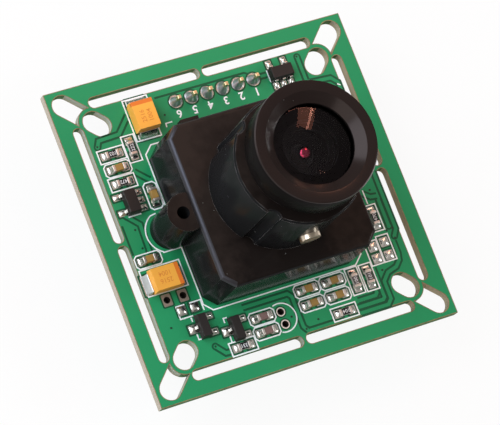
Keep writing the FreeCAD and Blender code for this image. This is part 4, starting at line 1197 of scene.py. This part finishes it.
def solder_ramp(low, high, outward):
    """Solder from a cap's outer face down to the pad. Its height is the cap's times the power
    2.2 of the share left to the pad's edge, and falls off to both sides by a fourth power."""
    axis = int(outward[0] == 0)
    cross = 1 - axis
    sign = outward[axis]
    face = (low if sign < 0 else high)[axis] - sign * CAP_RAMP
    t, s = np.meshgrid(np.linspace(0, 1, 8), np.linspace(-1, 1, 7), indexing="ij")
    rise = (high[2] - low[2]) * 0.82
    points = np.zeros(t.shape + (3,))
    points[..., axis] = face + sign * (CAP_RAMP + 0.05) * t
    points[..., cross] = (low[cross] + high[cross]) / 2 + (high[cross] - low[cross]) * 0.54 * s
    points[..., 2] = low[2] + 0.02 + rise * (1 - t)**2.2 * (1 - np.abs(s)**4)
    return merged(with_base(points, low[2]))


class MODULE_OT_chips(bpy.types.Operator):
    """Chip resistors and capacitors with tinned ends, solder and plain value figures."""

    bl_idname = "module.chips"
    bl_label = "Chips"

    def execute(self, context):
        black = finish("resistor_glaze", (0.014, 0.014, 0.016), 0.25, blotch=0.1, bump=0.08,
                       recolour=glaze_recolour)
        grey = finish("resistor_grey", (0.075, 0.062, 0.062), 0.3, blotch=0.15,
                      recolour=glaze_recolour)
        figures = finish("value_ink", (0.70, 0.70, 0.71), 0.5, blotch=0.05)
        plates = []
        for index, node in enumerate(cores_named("chip_resistor_")):
            dressed(node, f"{node}_body", grey if index in (5, 6) else black,
                    0.00003)
            low, high = node_box(node)
            turn = 180 if high[0] - low[0] > 0.85 else 90
            plates.append(digits(RESISTOR_FIGURES[index], 0.44, (low + high)[:2] / 2, turn,
                                 high[2] - 0.008, bold=0.015))
        piece("value_figures", plates, figures, "board_assembly", clean=False)
        fired = {"blotch_scale": 1400.0, "bump": 0.2}
        tan = finish("capacitor_tan", (0.37, 0.215, 0.055), 0.42, blotch=0.3, **fired)
        mauve = finish("capacitor_mauve", (0.205, 0.125, 0.112), 0.42, blotch=0.25, **fired)
        for node in cores_named("chip_capacitor_", "back_capacitor_"):
            shade = mauve if node in ("chip_capacitor_8", "chip_capacitor_9") else tan
            dressed(node, f"{node}_body", shade, 0.00006)
        for kind in ("chip_resistor", "chip_capacitor", "back_capacitor"):
            self.ends(kind)
        return {"FINISHED"}

    def ends(self, kind):
        """Square tinned caps with rounded edges, and a solder ramp from each to its pad. On
        the back the ramp is worked out upside down and turned over."""
        caps, ramps = [], []
        cores = [node_box(name) for name in cores_named(kind + "_")]
        for start, end in solids_of(f"{kind}_end_caps"):
            middle = (start + end)[:2] / 2
            away = min((middle - (low + high)[:2] / 2 for low, high in cores),
                       key=np.linalg.norm)
            axis = int(abs(away[1]) > abs(away[0]))
            outward = np.zeros(2)
            outward[axis] = np.sign(away[axis])
            low, high = start.copy(), end.copy()
            (high if outward[axis] > 0 else low)[axis] -= outward[axis] * CAP_RAMP
            caps.append(prism(box_outline(low, high), low[2], high[2]))
            if kind.startswith("back"):
                corners = start * UPSIDE_DOWN, end * UPSIDE_DOWN
                points, faces = solder_ramp(np.minimum(*corners), np.maximum(*corners), outward)
                ramps.append((points * UPSIDE_DOWN, faces))
            else:
                ramps.append(solder_ramp(start, end, outward))
        tin = finish("cap_tin", (0.74, 0.67, 0.62), 0.42, metallic=1.0, blotch=0.15,
                     blotch_scale=1500.0, spread=0.1, bump=0.05)
        rounded(piece(f"{kind}_tins", caps, tin, "board_assembly",
                      [f"{kind}_end_caps"]), 0.00006, harden=False)
        piece(f"{kind}_solder", ramps, solder_finish(), "board_assembly", angle=50)


def band_recolour(axis, limit):
    """Gives a recolouring that paints a band where one coordinate is above a limit."""
    def paint(tree, shade):
        look = bpy.context.scene.module_parts
        place = separated(tree, object_coordinates(tree))
        past = math_node(tree, "GREATER_THAN", place[axis], limit * MM)
        high = math_node(tree, "GREATER_THAN", place[2], (BOARD_TOP + 1.5) * MM)
        band = math_node(tree, "MULTIPLY", past, high)
        return mix_colour(tree, band, shade, tuple(look.tantalum_band))
    return paint


def case_surface(low, high):
    """A moulded case: its rectangle drawn in below the parting line, full at it, and drawn in
    again towards the top, as rings joined one above the other."""
    rise = high[2] - low[2]
    levels = ((0.0, 0.16), (0.40, 0.05), (0.40, 0.0), (0.46, 0.0), (1.0, 0.10))
    rings = [np.column_stack([box_outline(low + inset, high - inset),
                              np.full(4, low[2] + share * rise)]) for share, inset in levels]
    points, faces = grid(np.stack(rings), close_columns=True)
    top = 4 * (len(levels) - 1)
    return points, faces + [[0, 1, 2, 3], [top + 3, top + 2, top + 1, top]]


class MODULE_OT_tantalums(bpy.types.Operator):
    """Moulded tantalum capacitors with a polarity band and tinned end tabs."""

    bl_idname = "module.tantalums"
    bl_label = "Tantalum capacitors"

    def execute(self, context):
        look = context.scene.module_parts
        marks = []
        for number, axis, turn in ((1, 1, 90), (2, 0, 180)):
            node = f"tantalum_capacitor_{number}"
            low, high = node_box(node)
            case = finish(f"tantalum_case_{number}", look.tantalum, 0.42, blotch=0.06,
                          blotch_scale=900.0, bump=0.15,
                          recolour=band_recolour(axis, high[axis] - look.band_width / MM))
            rounded(piece(f"{node}_case", [case_surface(low, high)], case, "board_assembly",
                          [node], angle=20), 0.00008)
            along, across = np.eye(2)[axis], np.eye(2)[1 - axis]
            middle = (low + high)[:2] / 2 - 0.25 * along
            marks += [digits(figures, 0.56, middle + offset * across, turn, high[2] - 0.006,
                             bold=0.01)
                      for figures, offset in (("1004", 0.42), ("2516", -0.42))]
        burnt = finish("burnt_figures", (0.84, 0.27, 0.035), 0.6, blotch=0.2)
        piece("capacitor_figures", marks, burnt, "board_assembly", clean=False)
        tab = finish("tab_tin", (0.80, 0.79, 0.80), 0.5, metallic=1.0, blotch=0.2,
                     blotch_scale=1500.0, spread=0.2)
        tabs = dressed("tantalum_end_tabs", "tantalum_tabs", tab, 0.00008)
        tabs.data.materials.append(solder_finish())
        repaint(tabs, 1, lambda normal, middle: middle[1] > 5.0)
        return {"FINISHED"}


class MODULE_OT_packages(bpy.types.Operator):
    """Moulded packages and their leads, on both sides of the board."""

    bl_idname = "module.packages"
    bl_label = "Packages"

    def execute(self, context):
        look = context.scene.module_parts
        plastic = finish("package_plastic", (0.017, 0.013, 0.012), 0.45, blotch=0.2, spread=0.2,
                         grain_scale=9000.0, bump=0.25, Specular_IOR_Level=0.35)
        for node in ("voltage_regulator_1", "voltage_regulator_2", "transistor_1",
                     "transistor_2", "image_processor", "memory_chip"):
            dressed(node, f"{node}_case", plastic, look.edge)
            dressed(f"{node}_leads", f"{node}_lead_frame", solder_finish(), 0.00003)
        can = finish("crystal_can", (0.66, 0.65, 0.62), 0.26, metallic=1.0, blotch=0.1)
        dressed("clock_crystal", "crystal_case", can, 0.0003, segments=3)
        return {"FINISHED"}


class MODULE_OT_bare_pads(bpy.types.Operator):
    """Soft mounds of solder on the pads that carry no part."""

    bl_idname = "module.bare_pads"
    bl_label = "Bare pads"

    def execute(self, context):
        mounds = []
        for start, end in solids_of("bare_pad_solder"):
            mounds += mound(start, end, (end - start)[2] * 0.95)
        piece("pad_solder", mounds, solder_finish(), "board_assembly",
              ["bare_pad_solder"], angle=60)
        return {"FINISHED"}


class MODULE_OT_sensor(bpy.types.Operator):
    """Materials of the sensor, its cover glass and the filter inside the holder."""

    bl_idname = "module.sensor"
    bl_label = "Sensor"

    def execute(self, context):
        coat("image_sensor", finish("sensor_package", (0.20, 0.15, 0.12), 0.5, blotch=0.1))
        coat("sensor_cover_glass", glass_finish("cover_glass", (1, 1, 1)))
        coat("infrared_filter", glass_finish("filter_glass", (0.6, 0.9, 1.0)))
        return {"FINISHED"}


# ---------------------------------------------------------------- stage

# name, direction from the part, distance, width and height, power, colour
LAMPS = (
    ("cool_window", (-0.668, 0.418, 0.616), 450, (480, 292), 1.92, (0.83, 0.90, 1.0)),
    ("soft_key", (-0.60, -0.36, 0.71), 640, (360, 360), 0.65, (1.0, 0.97, 0.93)),
    ("low_side", (0.837, -0.305, 0.454), 640, (240, 240), 1.7, (0.94, 0.98, 1.0)),
    ("far_window", (0.454, 0.602, 0.656), 420, (92, 250), 0.25, (1.0, 0.42, 0.26)),
    ("window_post", (0.500, 0.565, 0.656), 405, (13, 250), 0.13, (1.0, 0.50, 0.33)),
)
LAMP_TARGET = np.array([0, 0, 10])
CAMERA_PLACE = Matrix([
    [0.88414, 0.26860, -0.38229, -0.136520],
    [-0.35718, 0.91604, -0.18246, -0.065608],
    [0.30118, 0.29786, 0.90585, 0.323227],
    [0, 0, 0, 1]])
FLOOR_REACH = 3.0              # metres


def area_light(name, toward, distance, size, power, colour):
    """A rectangular lamp in a direction from the part, which faces it."""
    lamp = bpy.data.lights.new(name, "AREA")
    lamp.shape = "RECTANGLE"
    lamp.size, lamp.size_y = (length * MM for length in size)
    lamp.energy = power
    lamp.color = colour
    made = bpy.data.objects.new(name, lamp)
    bpy.context.scene.collection.objects.link(made)
    away = np.array(toward) / np.linalg.norm(toward)
    place = (LAMP_TARGET + away * distance) * MM
    side = np.cross((0, 0, 1), away)
    side /= np.linalg.norm(side)
    up = np.cross(away, side)
    made.matrix_world = Matrix([[side[i], up[i], away[i], place[i]] for i in range(3)]
                               + [[0, 0, 0, 1]])


def blended(tree, share, first, second, output):
    """Gives an output the first shader where the share is 0 and the second where it is 1."""
    blend = tree.nodes.new("ShaderNodeMixShader")
    for socket, value in zip(blend.inputs, (share, first, second)):
        tree.links.new(value, socket)
    tree.links.new(blend.outputs[0], tree.nodes[output].inputs["Surface"])


class MODULE_OT_stage(bpy.types.Operator):
    """Pale floor, soft lamps and the camera."""

    bl_idname = "module.stage"
    bl_label = "Stage"

    def execute(self, context):
        look = context.scene.module_stage
        self.floor(look)
        self.surround(look)
        for lamp in LAMPS:
            area_light(*lamp)
        camera = bpy.data.cameras.new("camera")
        camera.lens = look.lens
        camera.sensor_width = 36.0
        camera.clip_start = 0.01
        camera.clip_end = 10.0
        made = bpy.data.objects.new("camera", camera)
        context.scene.collection.objects.link(made)
        made.matrix_world = CAMERA_PLACE
        context.scene.camera = made
        context.scene.view_settings.view_transform = "Standard"
        return {"FINISHED"}

    def floor(self, look):
        """A wide pale floor. To the camera it is mostly plain white, and the rest of it takes
        the part's shadow."""
        corners = [(x * FLOOR_REACH, y * FLOOR_REACH, CAD_BOX[0][2] - look.floor_drop)
                   for x, y in ((-1, -1), (1, -1), (1, 1), (-1, 1))]
        mesh = bpy.data.meshes.new("floor")
        mesh.from_pydata(corners, [], [(0, 1, 2, 3)])
        made = bpy.data.objects.new("floor", mesh)
        bpy.context.scene.collection.objects.link(made)
        pale = bpy.data.materials.new("pale_floor")
        pale.use_nodes = True
        tree = pale.node_tree
        shader = tree.nodes["Principled BSDF"]
        shader.inputs["Roughness"].default_value = 0.9
        tone = mix_colour(tree, noise(tree, 6.0, 2), (0.86, 0.86, 0.86, 1), (0.9, 0.9, 0.9, 1))
        tree.links.new(tone, shader.inputs["Base Color"])
        glow = tree.nodes.new("ShaderNodeEmission")
        glow.inputs["Color"].default_value = (1, 1, 1, 1)
        path = tree.nodes.new("ShaderNodeLightPath").outputs
        seen = math_node(tree, "ADD", path["Is Camera Ray"], path["Is Glossy Ray"])
        seen = math_node(tree, "ADD", seen, path["Is Transmission Ray"], clamp=True)
        blended(tree, math_node(tree, "MULTIPLY", seen, 0.9), shader.outputs[0],
                glow.outputs[0], "Material Output")
        mesh.materials.append(pale)

    def surround(self, look):
        """Even grey light from all round, plain white where the camera sees it."""
        world = bpy.data.worlds.new("surround")
        bpy.context.scene.world = world
        world.use_nodes = True
        tree = world.node_tree
        even = tree.nodes["Background"]
        even.inputs["Strength"].default_value = look.world
        toward = tree.nodes.new("ShaderNodeTexCoord").outputs["Generated"]
        side = share_along(tree, toward, (-0.5, 0.22, 0.84))
        rise = math_node(tree, "POWER", ramp(tree, side, -0.8, 0.5), 2.0)
        tree.links.new(mix_colour(tree, rise, (0.17, 0.14, 0.12, 1), (1.0, 0.95, 0.90, 1)),
                       even.inputs["Color"])
        white = tree.nodes.new("ShaderNodeBackground")
        white.inputs["Color"].default_value = (1, 1, 1, 1)
        path = tree.nodes.new("ShaderNodeLightPath").outputs
        other = math_node(tree, "ADD", path["Is Glossy Ray"], path["Is Transmission Ray"],
                          clamp=True)
        other = math_node(tree, "MULTIPLY", other, 0.15)
        seen = math_node(tree, "ADD", path["Is Camera Ray"], other, clamp=True)
        blended(tree, seen, even.outputs[0], white.outputs[0], "World Output")


# ---------------------------------------------------------------- panel and registration

STEPS = (
    MODULE_OT_board, MODULE_OT_ink, MODULE_OT_pads, MODULE_OT_holder, MODULE_OT_barrel,
    MODULE_OT_glass, MODULE_OT_header, MODULE_OT_chips, MODULE_OT_tantalums,
    MODULE_OT_packages, MODULE_OT_bare_pads, MODULE_OT_sensor, MODULE_OT_stage,
)
SETTINGS = {
    "module_board": BoardSettings,
    "module_holder": HolderSettings,
    "module_lens": LensSettings,
    "module_parts": PartsSettings,
    "module_stage": StageSettings,
}


class MODULE_PT_panel(bpy.types.Panel):
    """Lists the settings and the steps that make the part."""

    bl_idname = "MODULE_PT_panel"
    bl_label = "Camera Module"
    bl_space_type = "VIEW_3D"
    bl_region_type = "UI"
    bl_category = "Camera Module"

    def draw(self, context):
        for name in SETTINGS:
            group = getattr(context.scene, name)
            box = self.layout.box()
            for key in group.__annotations__:
                box.prop(group, key)
        for step in STEPS:
            self.layout.operator(step.bl_idname)


def register():
    for made in (*SETTINGS.values(), *STEPS, MODULE_PT_panel):
        bpy.utils.register_class(made)
    for name, group in SETTINGS.items():
        setattr(bpy.types.Scene, name, bpy.props.PointerProperty(type=group))


def unregister():
    for name in SETTINGS:
        delattr(bpy.types.Scene, name)
    for made in reversed((*SETTINGS.values(), *STEPS, MODULE_PT_panel)):
        bpy.utils.unregister_class(made)


def main():
    register()
    for step in STEPS:
        getattr(bpy.ops.module, step.bl_idname.split(".")[1])()


if __name__ == "__main__":
    main()
